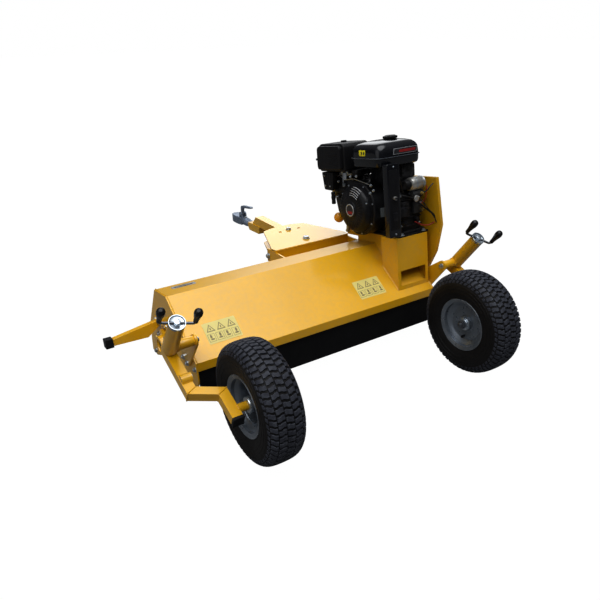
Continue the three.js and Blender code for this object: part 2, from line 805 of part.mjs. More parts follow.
// A point of the arm's frame as [forwards, up].
function armPoint(s, n) {
  const point = new THREE.Vector3(0, s, n).applyMatrix4(ARM_FRAME);
  return [point.y, point.z];
}

function armCap() {
  const cap = new THREE.BoxGeometry(ARM_SIZE + 4, 12, ARM_SIZE + 4);
  const centre = place(ARM_INNER + ARM_SIZE / 2, 34 + 6 + GAP, ARM_TOP + ARM_SIZE / 2);
  return solid(cap, ARM_FRAME.clone().multiply(centre));
}

function wheelRim() {
  const inner = [
    [-58, 99],
    [-36, 82],
    [-30, 78],
    [-26, 44],
    [-44, 30],
    [-46, 11],
    [46, 11],
    [44, 30],
    [-18, 44],
    [-23, 79],
    [32, 80],
    [58, 99],
  ];
  const outer = [
    [66, 118],
    [61, 118],
    [57, 104],
    [32, 85],
    [-32, 85],
    [-57, 104],
    [-61, 118],
    [-66, 118],
  ];
  const profile = [...inner, ...outer, inner[0]].map(([x, r]) => [x + WHEEL_X, r]);
  return turned(profile.reverse(), ...AXLE, 28);
}

function wheelTyre() {
  const half = [
    [0, WHEEL_R],
    [44, 224],
    [68, 204],
    [TYRE_HALF, 168],
    [61.5, 126],
    [56, 107],
    [51, 107],
    [52, 126],
    [64, 168],
    [50, 204],
    [0, 213],
  ];
  const mirrored = half.slice(1, -1).map(([x, r]) => [-x, r]).reverse();
  const profile = [...half, ...mirrored, half[0]].map(([x, r]) => [x + WHEEL_X, r]);
  return turned(profile, ...AXLE, 28);
}

function axleNut() {
  return cut(
    join(barX(17, 470, 484, ...AXLE, 6), barX(22, 484, WHEEL_X - 46 - GAP, ...AXLE, 24)),
    barX(10.4, 460, 500, ...AXLE, 20),
  );
}

// ---------------------------------------------------------------- hitch
const BAR_TOP = HITCH_TOP - HITCH_PLATE - 1;
const LOWER_TOP = BAR_TOP - BAR - 1;

function hitchPlateOutline() {
  const shape = new THREE.Shape();
  shape.moveTo(HITCH_X - 221, 336);
  shape.lineTo(HITCH_X + 221, 336);
  shape.lineTo(HITCH_X + 226, 372);
  shape.lineTo(HITCH_X + 128, 628);
  shape.quadraticCurveTo(HITCH_X, 688, HITCH_X - 128, 628);
  shape.lineTo(HITCH_X - 226, 372);
  shape.closePath();
  return shape;
}

function hitchFrame() {
  const upper = slabZ(hitchPlateOutline(), HITCH_TOP - HITCH_PLATE, HITCH_TOP);
  const lower = slabZ(hitchPlateOutline(), LOWER_TOP - HITCH_PLATE, LOWER_TOP);
  const cross = block(HITCH_X - 220, HITCH_X + 220, 336, 344, LOWER_TOP - 4, HITCH_TOP - 4);
  const [y1, z1] = levelled(TOP_FRONT);
  const [y2, z2] = levelled(NOSE_FOOT);
  const onNose = (z, off) => [y1 + ((y2 - y1) * (z1 - z)) / (z1 - z2) + off, z];
  const cheek = [onNose(z1 - 1, 1.2), [418, z1 - 1], [418, 346], onNose(300, 1.2)];
  const cheeks = [HITCH_X - 225, HITCH_X + 217].map((x) => slabX([...cheek].reverse(), x, x + HITCH_PLATE));
  const bolts = [-1, 1].map((side) => headX(HITCH_X + side * 225, side, HITCH_Y + 3, 375));
  const bore = (x, y, r) => barZ(r, 300, 450, x, y, 12);
  const swing = Math.asin(58 / LOCK_REACH);
  const lockHoles = [-swing, 0, swing].map((angle) =>
    bore(HITCH_X + LOCK_REACH * Math.sin(angle), HITCH_Y + LOCK_REACH * Math.cos(angle), 9),
  );
  return cut(join(upper, lower, cross, ...cheeks, ...bolts), bore(HITCH_X, HITCH_Y, 10.4), ...lockHoles);
}

// A vertical bolt with a hexagon head on top.
function uprightBolt(radius, across, low, y) {
  const head = barZ(across / 2, HITCH_TOP + GAP, HITCH_TOP + 12, HITCH_X, y, 6);
  return join(head, barZ(radius, low, HITCH_TOP + 4, HITCH_X, y, 24));
}

function pivotBolt() {
  const nutLow = LOWER_TOP - HITCH_PLATE - 16;
  const nut = barZ(16, nutLow, LOWER_TOP - HITCH_PLATE - GAP, HITCH_X, HITCH_Y, 6);
  return join(uprightBolt(10, 30, nutLow - 4, HITCH_Y), nut);
}

function drawbar() {
  const profile = [
    [HITCH_Y - 28, BAR_TOP],
    [910, BAR_TOP],
    [952, BAR_TOP - BAR],
    [HITCH_Y - 28, BAR_TOP - BAR],
  ];
  const tube = slabX([...profile].reverse(), HITCH_X - BAR / 2, HITCH_X + BAR / 2);
  const drop = slabX(
    [
      [862, BAR_TOP - BAR + 2],
      [872, 322],
      [988, 318],
      [1004, 338],
      [1004, 362],
      [948, BAR_TOP - BAR + 2],
    ],
    HITCH_X - 29,
    HITCH_X + 29,
  );
  const socket = barY(22.5, 930, 1010, HITCH_X, 340, 24);
  const hollow = block(HITCH_X - 20, HITCH_X + 20, 700, 960, BAR_TOP - BAR + 5, BAR_TOP - 5);
  return cut(
    join(cut(tube, hollow), drop),
    socket,
    barZ(10.4, 300, 450, HITCH_X, HITCH_Y),
    barZ(9, 300, 450, HITCH_X, HITCH_Y + LOCK_REACH),
  );
}

function couplerBody() {
  const shank = barY(22, 932, 1120, HITCH_X, 340, 24);
  const head = roundedBlock(HITCH_X - 31, HITCH_X + 31, 1112, 1238, 314, 362, 26);
  const cup = solid(new THREE.SphereGeometry(26, 14, 8), place(HITCH_X, 1206, 312));
  const neck = barY(25, 1060, 1118, HITCH_X, 340, 24);
  const ears = [-17, 9].map((x) => block(HITCH_X + x, HITCH_X + x + 8, 1108, 1142, 355, 392));
  const bolt = barX(6, HITCH_X - 34, HITCH_X + 34, 980, 340, 12);
  const pinHole = barX(4.6, HITCH_X - 30, HITCH_X + 30, 1125, 378, 16);
  return cut(join(shank, neck, head, ...ears), cup, pinHole, bolt);
}

function couplerLatch() {
  const pin = barX(4.2, HITCH_X - 20, HITCH_X + 20, 1125, 378, 16);
  const stem = slabX(
    [
      [1116, 368],
      [1134, 368],
      [1134, 424],
      [1112, 434],
      [1000, 450],
      [998, 440],
      [1104, 420],
      [1116, 404],
    ],
    HITCH_X - 8,
    HITCH_X + 8,
  );
  return join(stem, pin);
}

// ---------------------------------------------------------------- assembly
add(deck, "deck_shell", deckShell(), YELLOW);
add(deck, "front_flap", flap(FRONT_HINGE, FRONT_FOOT), RUBBER);
add(deck, "rear_flap", flap(REAR_HINGE, REAR_FOOT), RUBBER);
add(deck, "engine_pedestal", pedestal(), YELLOW);
add(deck, "side_guide_arm", onSide(sideGuide(), -1), YELLOW);
add(deck, "side_guide_cap", onSide(guideCap(), -1), BLACK_PLASTIC);
add(deck, "flail_rotor", flailRotor(), CAST);

add(deck, "belt_guard_back", guardBack(), YELLOW);
add(deck, "belt_guard_cover", guardCover(), YELLOW);
add(deck, "belt_lever", beltLever(), ZINC);
add(deck, "belt_lever_knob", leverKnob(), YELLOW);
add(deck, "drive_belt", driveBelt(), RUBBER);
add(deck, "engine_crankshaft", barX(CRANKSHAFT_R, 601, 722, CRANK.y, CRANK.z), ZINC);
add(deck, "engine_pulley", pulley(ENGINE_PULLEY_R - 2, CRANKSHAFT_R + RUNNING, CRANK), CAST);
add(deck, "rotor_pulley", pulley(ROTOR_PULLEY_R - 2, SHAFT_R + RUNNING, ROTOR), CAST);
add(deck, "idler_pulley", idlerPulley(), CAST);

add(deck, "engine_block", engineBlock(), BLACK);
add(deck, "valve_cover", valveCover(), BLACK);
add(deck, "fan_housing", fanHousing(), BLACK);
add(deck, "recoil_cover", recoilCover(), BLACK);
add(deck, "recoil_grip", recoilGrip(), BLACK_PLASTIC);
add(deck, "fuel_tank", fuelTank(), BLACK);
add(deck, "fuel_cap", fuelCap(), BLACK_PLASTIC);
add(deck, "air_cleaner_cover", airCleaner(), BLACK_PLASTIC);
add(deck, "air_cleaner_base", airDuct(), BLACK_PLASTIC);
add(deck, "carburettor", carburettor(), ZINC);
add(deck, "throttle_lever", throttleLever(), ZINC);
add(deck, "muffler", muffler(), CAST);
add(deck, "starter_motor", starterMotor(), ZINC);
add(deck, "control_box", controlBox(), BLACK_PLASTIC);
add(deck, "ignition_key", ignitionKey(), BLACK_PLASTIC);
add(deck, "oil_dipstick", oilDipstick(), BLACK_PLASTIC);

for (const [name, side] of SIDES) {
  add(deck, name + "_end_plate", onSide(endPlate(), side), YELLOW);
  add(deck, name + "_bearing_housing", onSide(bearingHousing(), side), CAST);
  add(deck, name + "_jack_tube", onSide(jackTube(), side), YELLOW);
  add(deck, name + "_jack_crank", jackCrank(name), ZINC);
  add(deck, name + "_crank_grip_inner", crankGrip(name, -side), BLACK_PLASTIC);
  add(deck, name + "_crank_grip_outer", crankGrip(name, side), BLACK_PLASTIC);
  add(deck, name + "_wheel_arm", onSide(wheelArm(), side), YELLOW);
  add(deck, name + "_arm_cap", onSide(armCap(), side), BLACK_PLASTIC);
  add(deck, name + "_rim", onSide(wheelRim(), side), RIM_GREY);
  add(deck, name + "_tyre", onSide(wheelTyre(), side), RUBBER);
  add(deck, name + "_axle_nut", onSide(axleNut(), side), ZINC);
}

add(level, "hitch_frame", hitchFrame(), YELLOW);
add(level, "drawbar_pivot_bolt", pivotBolt(), ZINC);
add(level, "drawbar_lock_bolt", uprightBolt(8, 26, BAR_TOP + 0.6, HITCH_Y + LOCK_REACH), ZINC);
add(level, "drawbar", drawbar(), YELLOW);
add(level, "coupler_body", couplerBody(), ZINC);
add(level, "coupler_latch", couplerLatch(), ZINC);

export default machine;
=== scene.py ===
"""The looks of the towed flail mower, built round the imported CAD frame. Lengths are in millimetres
until a piece is finished, in the deck's own pitched frame or in the machine's level frame."""

import json
import math

import bmesh
import bpy
from mathutils import Matrix, Vector


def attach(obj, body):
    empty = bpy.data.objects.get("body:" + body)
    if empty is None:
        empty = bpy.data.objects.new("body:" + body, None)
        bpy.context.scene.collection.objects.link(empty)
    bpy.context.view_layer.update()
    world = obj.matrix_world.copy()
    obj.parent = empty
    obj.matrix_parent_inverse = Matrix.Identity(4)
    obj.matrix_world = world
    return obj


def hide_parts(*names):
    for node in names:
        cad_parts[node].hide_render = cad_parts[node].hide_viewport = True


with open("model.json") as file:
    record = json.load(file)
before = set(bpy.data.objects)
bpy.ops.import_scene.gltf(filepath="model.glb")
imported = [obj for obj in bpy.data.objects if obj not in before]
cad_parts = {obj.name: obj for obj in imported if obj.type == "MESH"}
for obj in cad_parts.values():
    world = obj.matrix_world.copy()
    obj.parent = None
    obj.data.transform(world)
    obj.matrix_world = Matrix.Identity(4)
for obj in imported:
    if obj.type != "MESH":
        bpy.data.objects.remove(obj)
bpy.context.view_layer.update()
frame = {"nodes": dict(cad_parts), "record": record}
nodes = frame["nodes"]

MM = 0.001
PITCH = math.radians(8)  # the deck stands nose down by this much
# Places are drawn from the middle of the deck on the ground, where the coupler's face stands here.
COUPLER_FACE = Vector((247, 1238, 345))
coupler_mount = next(mount for mount in frame["record"]["mounts"] if mount["name"] == "coupler_face")
SHIFT = Vector(coupler_mount["pos_m"]) / MM - COUPLER_FACE
LEVEL = Matrix.Translation(SHIFT)
DECK = LEVEL @ Matrix.Rotation(-PITCH, 4, "X")
SIDES = {"left": -1, "right": 1}
RIGHT, LEFT = (1, 0, 0), (-1, 0, 0)
FRONT, BACK = (0, 1, 0), (0, -1, 0)
UP = (0, 0, 1)

# Driving sizes and places. A pair is (forwards, up) in the deck's frame, and the hitch is in the level frame.
END_FACE = 632
BRACKET_SHEET = 10
WHEEL_X = 536
WHEEL_R = 228
AXLE = (-512.6, 158.2)
JACK_X = 735
JACK_TOP = (-368, 468)
JACK_LENGTH = 188
BOSS_UP = 8
JACK_UP = Vector((0, -math.sqrt(0.5), math.sqrt(0.5)))
CRANK_TURN = {"left": 18, "right": 42}
CRANKSHAFT = (62, 632)
ROTOR = (150, 205)
HITCH_X = 247
HITCH_TOP = 423.4
COWL_FACE = 385
RECOIL_BACK = 384
PANEL_X = 398
PANEL_FACE = -196

# The deck's rear slope falls from its top edge by this much over this run.
SLOPE_TOP = (51, 444)
SLOPE_RUN = 239
SLOPE_DROP = 223
SLOPE_UP = Vector((0, 0.731, 0.682))
SLOPE_OFF = Vector((0, -0.682, 0.731))


# ---------------------------------------------------------------- materials
def node_tree(name):
    """A new material with its node tree and its main shader."""
    made = bpy.data.materials.new(name)
    made.use_nodes = True
    tree = made.node_tree
    return made, tree, tree.nodes["Principled BSDF"]


def noise_node(tree, scale, detail=4.0, roughness=0.55):
    """Noise that stays with the object as it moves."""
    coords = tree.nodes.new("ShaderNodeTexCoord")
    texture = tree.nodes.new("ShaderNodeTexNoise")
    texture.inputs["Scale"].default_value = scale
    texture.inputs["Detail"].default_value = detail
    texture.inputs["Roughness"].default_value = roughness
    tree.links.new(coords.outputs["Object"], texture.inputs["Vector"])
    return texture.outputs["Fac"]


def ramp(tree, factor, stops):
    """A colour that follows a factor through (place, colour) stops."""
    node = tree.nodes.new("ShaderNodeValToRGB")
    while len(node.color_ramp.elements) < len(stops):
        node.color_ramp.elements.new(0.5)
    for element, (at, colour) in zip(node.color_ramp.elements, stops):
        element.position = at
        element.color = (*colour, 1)
    tree.links.new(factor, node.inputs["Fac"])
    return node.outputs["Color"]


def mix(tree, factor, a, b):
    """One colour blended over another."""
    node = tree.nodes.new("ShaderNodeMix")
    node.data_type = "RGBA"
    for socket, value in ((node.inputs[0], factor), (node.inputs[6], a), (node.inputs[7], b)):
        if isinstance(value, (float, int)):
            socket.default_value = value
        elif isinstance(value, tuple):
            socket.default_value = (*value, 1)
        else:
            tree.links.new(value, socket)
    return node.outputs[2]


def map_range(tree, value, **limits):
    """Maps a value between ranges. Limits name the node's inputs, as in from_min=0.2."""
    node = tree.nodes.new("ShaderNodeMapRange")
    for name, limit in limits.items():
        node.inputs[name.replace("_", " ").title()].default_value = limit
    tree.links.new(value, node.inputs["Value"])
    return node


def edge_mask(tree, low, high):
    """How far a point stands on a sharp outer edge."""
    geometry = tree.nodes.new("ShaderNodeNewGeometry")
    return map_range(tree, geometry.outputs["Pointiness"], from_min=low, from_max=high).outputs["Result"]


def calculate(tree, operation, a, b):
    """A sum or product of two sockets, or of a socket and a number."""
    node = tree.nodes.new("ShaderNodeMath")
    node.operation = operation
    for socket, value in zip(node.inputs, (a, b)):
        if isinstance(value, float):
            socket.default_value = value
        else:
            tree.links.new(value, socket)
    return node.outputs[0]


def surface(name, colour, rough, metal=0.0, coat=0.0, vary=0.12, vary_scale=9.0, grain=0.1,
            grain_scale=300.0, bump=0.0006, worn=None, wear=0.5, rough_vary=0.12, specular=0.5):
    """A surface with slow colour variation, fine bump, uneven gloss and, if asked, lighter worn edges."""
    made, tree, shader = node_tree(name)
    slow = noise_node(tree, vary_scale)
    fine = noise_node(tree, grain_scale, 3.0)
    dark = tuple(c * (1 - vary) for c in colour)
    light = tuple(min(1.0, c * (1 + vary)) for c in colour)
    base = ramp(tree, slow, [(0.3, dark), (0.7, light)])
    base = mix(tree, grain, base, ramp(tree, fine, [(0.35, dark), (0.65, light)]))
    if worn:
        scratch = ramp(tree, noise_node(tree, 60.0, 6.0), [(0.42, (0, 0, 0)), (0.62, (1, 1, 1))])
        mask = calculate(tree, "MULTIPLY",
                         calculate(tree, "MULTIPLY", edge_mask(tree, 0.52, 0.60), scratch), wear)
        base = mix(tree, mask, base, worn)
    tree.links.new(base, shader.inputs["Base Color"])
    gloss = map_range(tree, noise_node(tree, vary_scale * 3.1, 6.0), to_min=max(0.02, rough - rough_vary),
                      to_max=min(1.0, rough + rough_vary))
    tree.links.new(gloss.outputs["Result"], shader.inputs["Roughness"])
    for name, value in (("Metallic", metal), ("Coat Weight", coat), ("Coat Roughness", 0.08),
                        ("Specular IOR Level", specular)):
        shader.inputs[name].default_value = value
    relief = tree.nodes.new("ShaderNodeBump")
    relief.inputs["Strength"].default_value = 0.5
    relief.inputs["Distance"].default_value = bump
    tree.links.new(fine, relief.inputs["Height"])
    tree.links.new(relief.outputs["Normal"], shader.inputs["Normal"])
    return made


def print_and_highlight_surface(name, colour, rough, metal=0.0, vary=0.05, vary_scale=9.0, grain_scale=600.0):
    """A printed sheet, and the painted highlight marks: nearly smooth, with little variation."""
    return surface(name, colour, rough, metal, vary=vary, vary_scale=vary_scale, grain_scale=grain_scale,
                   bump=0.00005)


PAINT = surface("amber_paint", (0.75, 0.415, 0.004), 0.36, coat=0.8, vary=0.05, vary_scale=3.5, grain=0.02,
                grain_scale=900.0, bump=0.00012, worn=(0.42, 0.30, 0.16), wear=0.25, rough_vary=0.05)
KNOB = surface("amber_knob", (0.80, 0.36, 0.006), 0.22, coat=0.6, vary=0.06, vary_scale=20.0,
               grain_scale=500.0, bump=0.0001)
BLACK_GLOSS = surface("black_gloss", (0.007, 0.008, 0.012), 0.16, coat=0.5, vary=0.2, vary_scale=8.0,
                      grain_scale=700.0, bump=0.0001, rough_vary=0.06, specular=0.4)
BLACK_SATIN = surface("black_satin", (0.009, 0.009, 0.011), 0.36, coat=0.1, vary=0.25, vary_scale=14.0,
                      grain_scale=500.0, bump=0.0003, worn=(0.07, 0.07, 0.08), wear=0.5, specular=0.3)
BLACK_CAST = surface("black_casting", (0.011, 0.011, 0.012), 0.55, metal=0.2, vary=0.3, vary_scale=30.0,
                     grain=0.4, grain_scale=260.0, bump=0.0012, worn=(0.14, 0.14, 0.15), wear=0.5,
                     specular=0.3)
BLACK_PLASTIC = surface("black_plastic", (0.010, 0.010, 0.012), 0.46, vary=0.15, vary_scale=12.0, grain=0.3,
                        grain_scale=1400.0, bump=0.0002, specular=0.3)
GRIP = surface("grip_rubber", (0.007, 0.007, 0.009), 0.28, coat=0.2, vary=0.15, vary_scale=30.0,
               grain_scale=900.0, bump=0.0001, specular=0.35)
RUBBER = surface("flap_rubber", (0.008, 0.008, 0.009), 0.72, vary=0.3, vary_scale=10.0, grain=0.35,
                 grain_scale=420.0, bump=0.0006, specular=0.2)
TREAD = surface("tyre_tread", (0.036, 0.038, 0.050), 0.60, vary=0.22, vary_scale=16.0, grain=0.35,
                grain_scale=480.0, bump=0.0006, worn=(0.075, 0.08, 0.095), wear=0.7, specular=0.3)
SIDEWALL = surface("tyre_sidewall", (0.011, 0.010, 0.010), 0.52, vary=0.35, vary_scale=12.0, grain=0.3,
                   grain_scale=600.0, bump=0.0003, specular=0.25)
RIM = surface("rim_paint", (0.20, 0.225, 0.26), 0.30, metal=0.6, coat=0.25, vary=0.12, vary_scale=10.0,
              grain_scale=700.0, bump=0.0002, worn=(0.5, 0.5, 0.5), wear=0.4)
ZINC = surface("zinc_plate", (0.50, 0.55, 0.60), 0.30, metal=0.9, vary=0.16, vary_scale=22.0, grain=0.3,
               grain_scale=500.0, bump=0.0003, worn=(0.85, 0.86, 0.88), wear=0.4)
ALUMINIUM = surface("bare_aluminium", (0.62, 0.61, 0.58), 0.34, metal=0.85, vary=0.12, vary_scale=18.0,
                    grain=0.3, grain_scale=420.0, bump=0.0004)
BRASS = surface("passivated_brass", (0.60, 0.46, 0.16), 0.32, metal=0.9, vary=0.15, vary_scale=30.0,
                grain_scale=500.0, bump=0.0002)
DARK_STEEL = surface("dark_steel", (0.17, 0.18, 0.20), 0.34, metal=0.85, vary=0.2, vary_scale=26.0,
                     grain=0.3, grain_scale=500.0, bump=0.0003, worn=(0.5, 0.5, 0.52), wear=0.4)
SLATE = surface("slate_steel", (0.22, 0.26, 0.33), 0.40, metal=0.45, vary=0.25, vary_scale=20.0, grain=0.3,
                grain_scale=420.0, bump=0.0005, worn=(0.35, 0.37, 0.40), wear=0.5)
SEAM = surface("tank_seam", (0.10, 0.11, 0.13), 0.3, vary=0.2, vary_scale=20.0, grain_scale=600.0,
               bump=0.0001)
CAST_IRON = surface("cast_iron", (0.060, 0.062, 0.066), 0.6, metal=0.5, vary=0.25, vary_scale=20.0,
                    grain=0.4, grain_scale=320.0, bump=0.0010)
RED_WIRE = surface("red_wire", (0.30, 0.015, 0.01), 0.4, vary=0.1, grain_scale=600.0, bump=0.0001)
BLACK_WIRE = surface("black_wire", (0.012, 0.012, 0.012), 0.4, vary=0.1, grain_scale=600.0, bump=0.0001)
LABEL_YELLOW = print_and_highlight_surface("label_yellow", (0.70, 0.60, 0.22), 0.42, vary=0.05)
LABEL_BRIGHT = print_and_highlight_surface("label_bright", (0.80, 0.72, 0.02), 0.35, vary=0.04)
LABEL_SILVER = print_and_highlight_surface("label_silver", (0.55, 0.56, 0.58), 0.30, metal=0.6, vary=0.05)
# White for the starter rope, and for the painted highlight arcs on the recoil cover.
WHITE_ROPE_AND_PAINTED_HIGHLIGHT = print_and_highlight_surface("white_rope_and_painted_highlight", (0.72, 0.73, 0.74), 0.4, vary=0.04)
LABEL_GREY = print_and_highlight_surface("label_grey", (0.16, 0.18, 0.19), 0.4, vary=0.15, vary_scale=300.0,
                           grain_scale=900.0)
LABEL_FAINT = print_and_highlight_surface("label_faint_ink", (0.22, 0.17, 0.07), 0.45, vary=0.1)
LABEL_INK = print_and_highlight_surface("label_ink", (0.03, 0.03, 0.035), 0.4, vary=0.1)
LABEL_RED = print_and_highlight_surface("label_red", (0.33, 0.02, 0.02), 0.35, vary=0.06)


# ---------------------------------------------------------------- shapes
BEVEL_FROM = math.radians(28)  # edges that turn by more than this are bevelled


def aim(start, direction):
    """A matrix that takes the local X axis along a direction and the origin to a start point."""
    turn = Vector((1, 0, 0)).rotation_difference(Vector(direction).normalized())
    return Matrix.Translation(Vector(start)) @ turn.to_matrix().to_4x4()


def spline(points, steps):
    """Points along a smooth curve through the given points."""
    pts = [Vector(p) for p in points]
    pts = [pts[0] * 2 - pts[1], *pts, pts[-1] * 2 - pts[-2]]
    out = []
    for i in range(1, len(pts) - 2):
        a, b, c, d = pts[i - 1 : i + 3]
        for k in range(steps):
            t = k / steps
            out.append(0.5 * (2 * b + (c - a) * t + (2 * a - 5 * b + 4 * c - d) * t * t
                              + (3 * b - a - 3 * c + d) * t * t * t))
    return [*out, pts[-2]]


def rounded(points, radius, steps=5):
    """A closed outline with its corners rounded off."""
    out = []
    count = len(points)
    for i in range(count):
        corner = Vector(points[i])
        before = Vector(points[i - 1]) - corner
        after = Vector(points[(i + 1) % count]) - corner
        r = min(radius, before.length * 0.45, after.length * 0.45)
        a = corner + before.normalized() * r
        b = corner + after.normalized() * r
        for k in range(steps + 1):
            t = k / steps
            out.append(tuple(a * (1 - t) ** 2 + corner * 2 * t * (1 - t) + b * t * t))
    return out


def ellipse(cu, cv, ru, rv, steps=48):
    """An outline round the point (cu, cv), with two radii."""
    return [(cu + ru * math.cos(2 * math.pi * i / steps), cv + rv * math.sin(2 * math.pi * i / steps))
            for i in range(steps)]


def rect(x0, x1, y0, y1):
    return [(x0, y0), (x1, y0), (x1, y1), (x0, y1)]


def round_rect(x0, x1, y0, y1, radius, steps=5):
    return rounded(rect(x0, x1, y0, y1), radius, steps)


def polar(centre, radius, degrees):
    """The point at a radius and an angle from a centre."""
    angle = math.radians(degrees)
    return centre[0] + radius * math.cos(angle), centre[1] + radius * math.sin(angle)


def hexagon(radius, phase=0, centre=(0, 0)):
    """An outline whose first corner stands at the phase angle."""
    return [polar(centre, radius, 60 * i + phase) for i in range(6)]


class Piece:
    """One visible piece, gathered from several closed shapes."""

    def __init__(self, name, space=DECK):
        self.name = name
        self.space = space
        self.verts = []
        self.faces = []
        self.slots = []
        self.materials = []

    def take(self, bm, material, bevel=0.0, segments=2):
        """Adds one shape to the piece, with its sharp edges bevelled if asked."""
        if bevel > 0:
            bmesh.ops.remove_doubles(bm, verts=bm.verts, dist=1e-4)
            bmesh.ops.recalc_face_normals(bm, faces=bm.faces)
            sharp = [e for e in bm.edges if e.is_manifold and e.calc_face_angle(0) > BEVEL_FROM]
            bmesh.ops.bevel(bm, geom=sharp, offset=bevel, offset_type="OFFSET", segments=segments,
                            profile=0.6,
                            affect="EDGES", clamp_overlap=True)
        bmesh.ops.recalc_face_normals(bm, faces=bm.faces)
        if material not in self.materials:
            self.materials.append(material)
        slot = self.materials.index(material)
        start = len(self.verts)
        bm.verts.index_update()
        self.verts += [v.co.copy() for v in bm.verts]
        for face in bm.faces:
            self.faces.append([start + v.index for v in face.verts])
            self.slots.append(slot)
        bm.free()

    def slab(self, outline, axis, low, high, material, bevel=1.5, matrix=None, segments=2):
        """An outline in the other two axes, drawn along the named one from low to high."""
        place = {
            "x": lambda u, v, w: (w, u, v),
            "y": lambda u, v, w: (u, w, v),
            "z": lambda u, v, w: (u, v, w),
        }[axis]
        bm = bmesh.new()
        rings = [[bm.verts.new(place(u, v, w)) for u, v in outline] for w in (low, high)]
        bm.faces.new(rings[0][::-1])
        bm.faces.new(rings[1])
        for i in range(len(outline)):
            j = (i + 1) % len(outline)
            bm.faces.new((rings[0][i], rings[0][j], rings[1][j], rings[1][i]))
        if matrix:
            bm.transform(matrix)
        self.take(bm, material, bevel, segments)

    def box(self, x0, x1, y0, y1, z0, z1, material, bevel=1.5, matrix=None, segments=2):
        self.slab(rect(x0, x1, y0, y1), "z", z0, z1, material, bevel, matrix, segments)

    def lathe(self, profile, matrix, material, steps=64):
        """A profile of (along, radius) turned about the matrix's X axis.

        It starts and ends on the axis, or it closes on itself."""
        closed = profile[0] == profile[-1]
        points = profile[:-1] if closed else profile
        bm = bmesh.new()
        rings = []
        for along, radius in points:
            if radius < 1e-6:
                rings.append([bm.verts.new((along, 0, 0))])
                continue
            rings.append([bm.verts.new((along, radius * math.cos(2 * math.pi * i / steps),
                                        radius * math.sin(2 * math.pi * i / steps))) for i in range(steps)])
        pairs = list(zip(rings, rings[1:])) + ([(rings[-1], rings[0])] if closed else [])
        for a, b in pairs:
            for i in range(steps):
                j = (i + 1) % steps
                corners = [a[i % len(a)], a[j % len(a)], b[j % len(b)], b[i % len(b)]]
                unique = list(dict.fromkeys(corners))
                if len(unique) > 2:
                    bm.faces.new(unique)
        bm.transform(matrix)
        self.take(bm, material)

    def rod(self, start, end, radius, material, steps=40, edge=1.0):
        length = (Vector(end) - Vector(start)).length
        e = min(edge, radius * 0.4, length * 0.4)
        profile = [(0, 0), (0, radius - e), (e * 0.3, radius - e * 0.3), (e, radius), (length - e, radius),
                   (length - e * 0.3, radius - e * 0.3), (length, radius - e), (length, 0)]
        self.lathe(profile, aim(start, Vector(end) - Vector(start)), material, steps)

    def bolt(self, start, direction, across=17.0, height=8.0, material=ZINC, washer=True):
        """A hexagon bolt head with a washer, standing on a surface at the start point."""
        matrix = aim(start, direction)
        rest = 0.0
        if washer:
            self.lathe([(0, 0), (0, across * 0.78), (1.6, across * 0.76), (2.2, across * 0.7), (2.2, 0)],
                       matrix, material, 28)
            rest = 2.0
        self.slab(hexagon(across * 0.577, 15), "x", rest, rest + height, material, 0.9, matrix)
        self.lathe([(rest, 0), (rest, across * 0.3), (rest + height + 1.2, across * 0.3),
                    (rest + height + 2.2, across * 0.2), (rest + height + 2.2, 0)], matrix, material, 20)

    def screw(self, start, direction, across, height, material=ZINC):
        """A hexagon head without a washer."""
        self.bolt(start, direction, across, height, material, washer=False)

    def hose(self, points, radius, material, steps=12, smooth=6):
        """A round tube along a smooth curve."""
        path = spline(points, smooth)
        bm = bmesh.new()
        rings = []
        normal = None
        for i, point in enumerate(path):
            ahead = path[min(i + 1, len(path) - 1)] - path[max(i - 1, 0)]
            ahead.normalize()
            if normal is None:
                normal = ahead.orthogonal().normalized()
            normal = (normal - ahead * normal.dot(ahead)).normalized()
            side = ahead.cross(normal)
            rings.append([bm.verts.new(point + radius * (normal * math.cos(2 * math.pi * k / steps)
                                                         + side * math.sin(2 * math.pi * k / steps)))
                          for k in range(steps)])
        for a, b in zip(rings, rings[1:]):
            for k in range(steps):
                bm.faces.new((a[k], a[(k + 1) % steps], b[(k + 1) % steps], b[k]))
        bm.faces.new(rings[0][::-1])
        bm.faces.new(rings[-1])
        self.take(bm, material)

    def finish(self, body, replaces=(), slot=None, sharp=38.0):
        """Makes the object and lets it ride on a body, in place of the named CAD nodes."""
        mesh = bpy.data.meshes.new(self.name)
        mesh.from_pydata([(self.space @ v) * MM for v in self.verts], [], self.faces)
        for material in self.materials:
            mesh.materials.append(material)
        mesh.polygons.foreach_set("material_index", self.slots)
        mesh.polygons.foreach_set("use_smooth", [True] * len(self.faces))
        mesh.validate()
        mesh.set_sharp_from_angle(angle=math.radians(sharp))
        made = bpy.data.objects.new(self.name, mesh)
        bpy.context.scene.collection.objects.link(made)
        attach(made, body)
        if replaces:
            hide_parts(*replaces)
        return made


def dress(name, material, bevel=1.6):
    """A CAD node that stays in view: merged, with bevelled edges and a finish."""
    made = nodes[name]
    made.data.materials.clear()
    made.data.materials.append(material)
    made.data.polygons.foreach_set("material_index", [0] * len(made.data.polygons))
    weld = made.modifiers.new("weld", "WELD")
    weld.merge_threshold = 0.00002
    flat = made.modifiers.new("flat", "DECIMATE")
    flat.decimate_type = "DISSOLVE"
    flat.angle_limit = math.radians(1.0)
    edge = made.modifiers.new("edge", "BEVEL")
    edge.width = bevel * MM
    edge.segments = 2
    edge.limit_method = "ANGLE"
    edge.angle_limit = math.radians(32)
    weighted = made.modifiers.new("weighted", "WEIGHTED_NORMAL")
    weighted.weight = 100
    weighted.keep_sharp = True
    made.data.polygons.foreach_set("use_smooth", [True] * len(made.data.polygons))


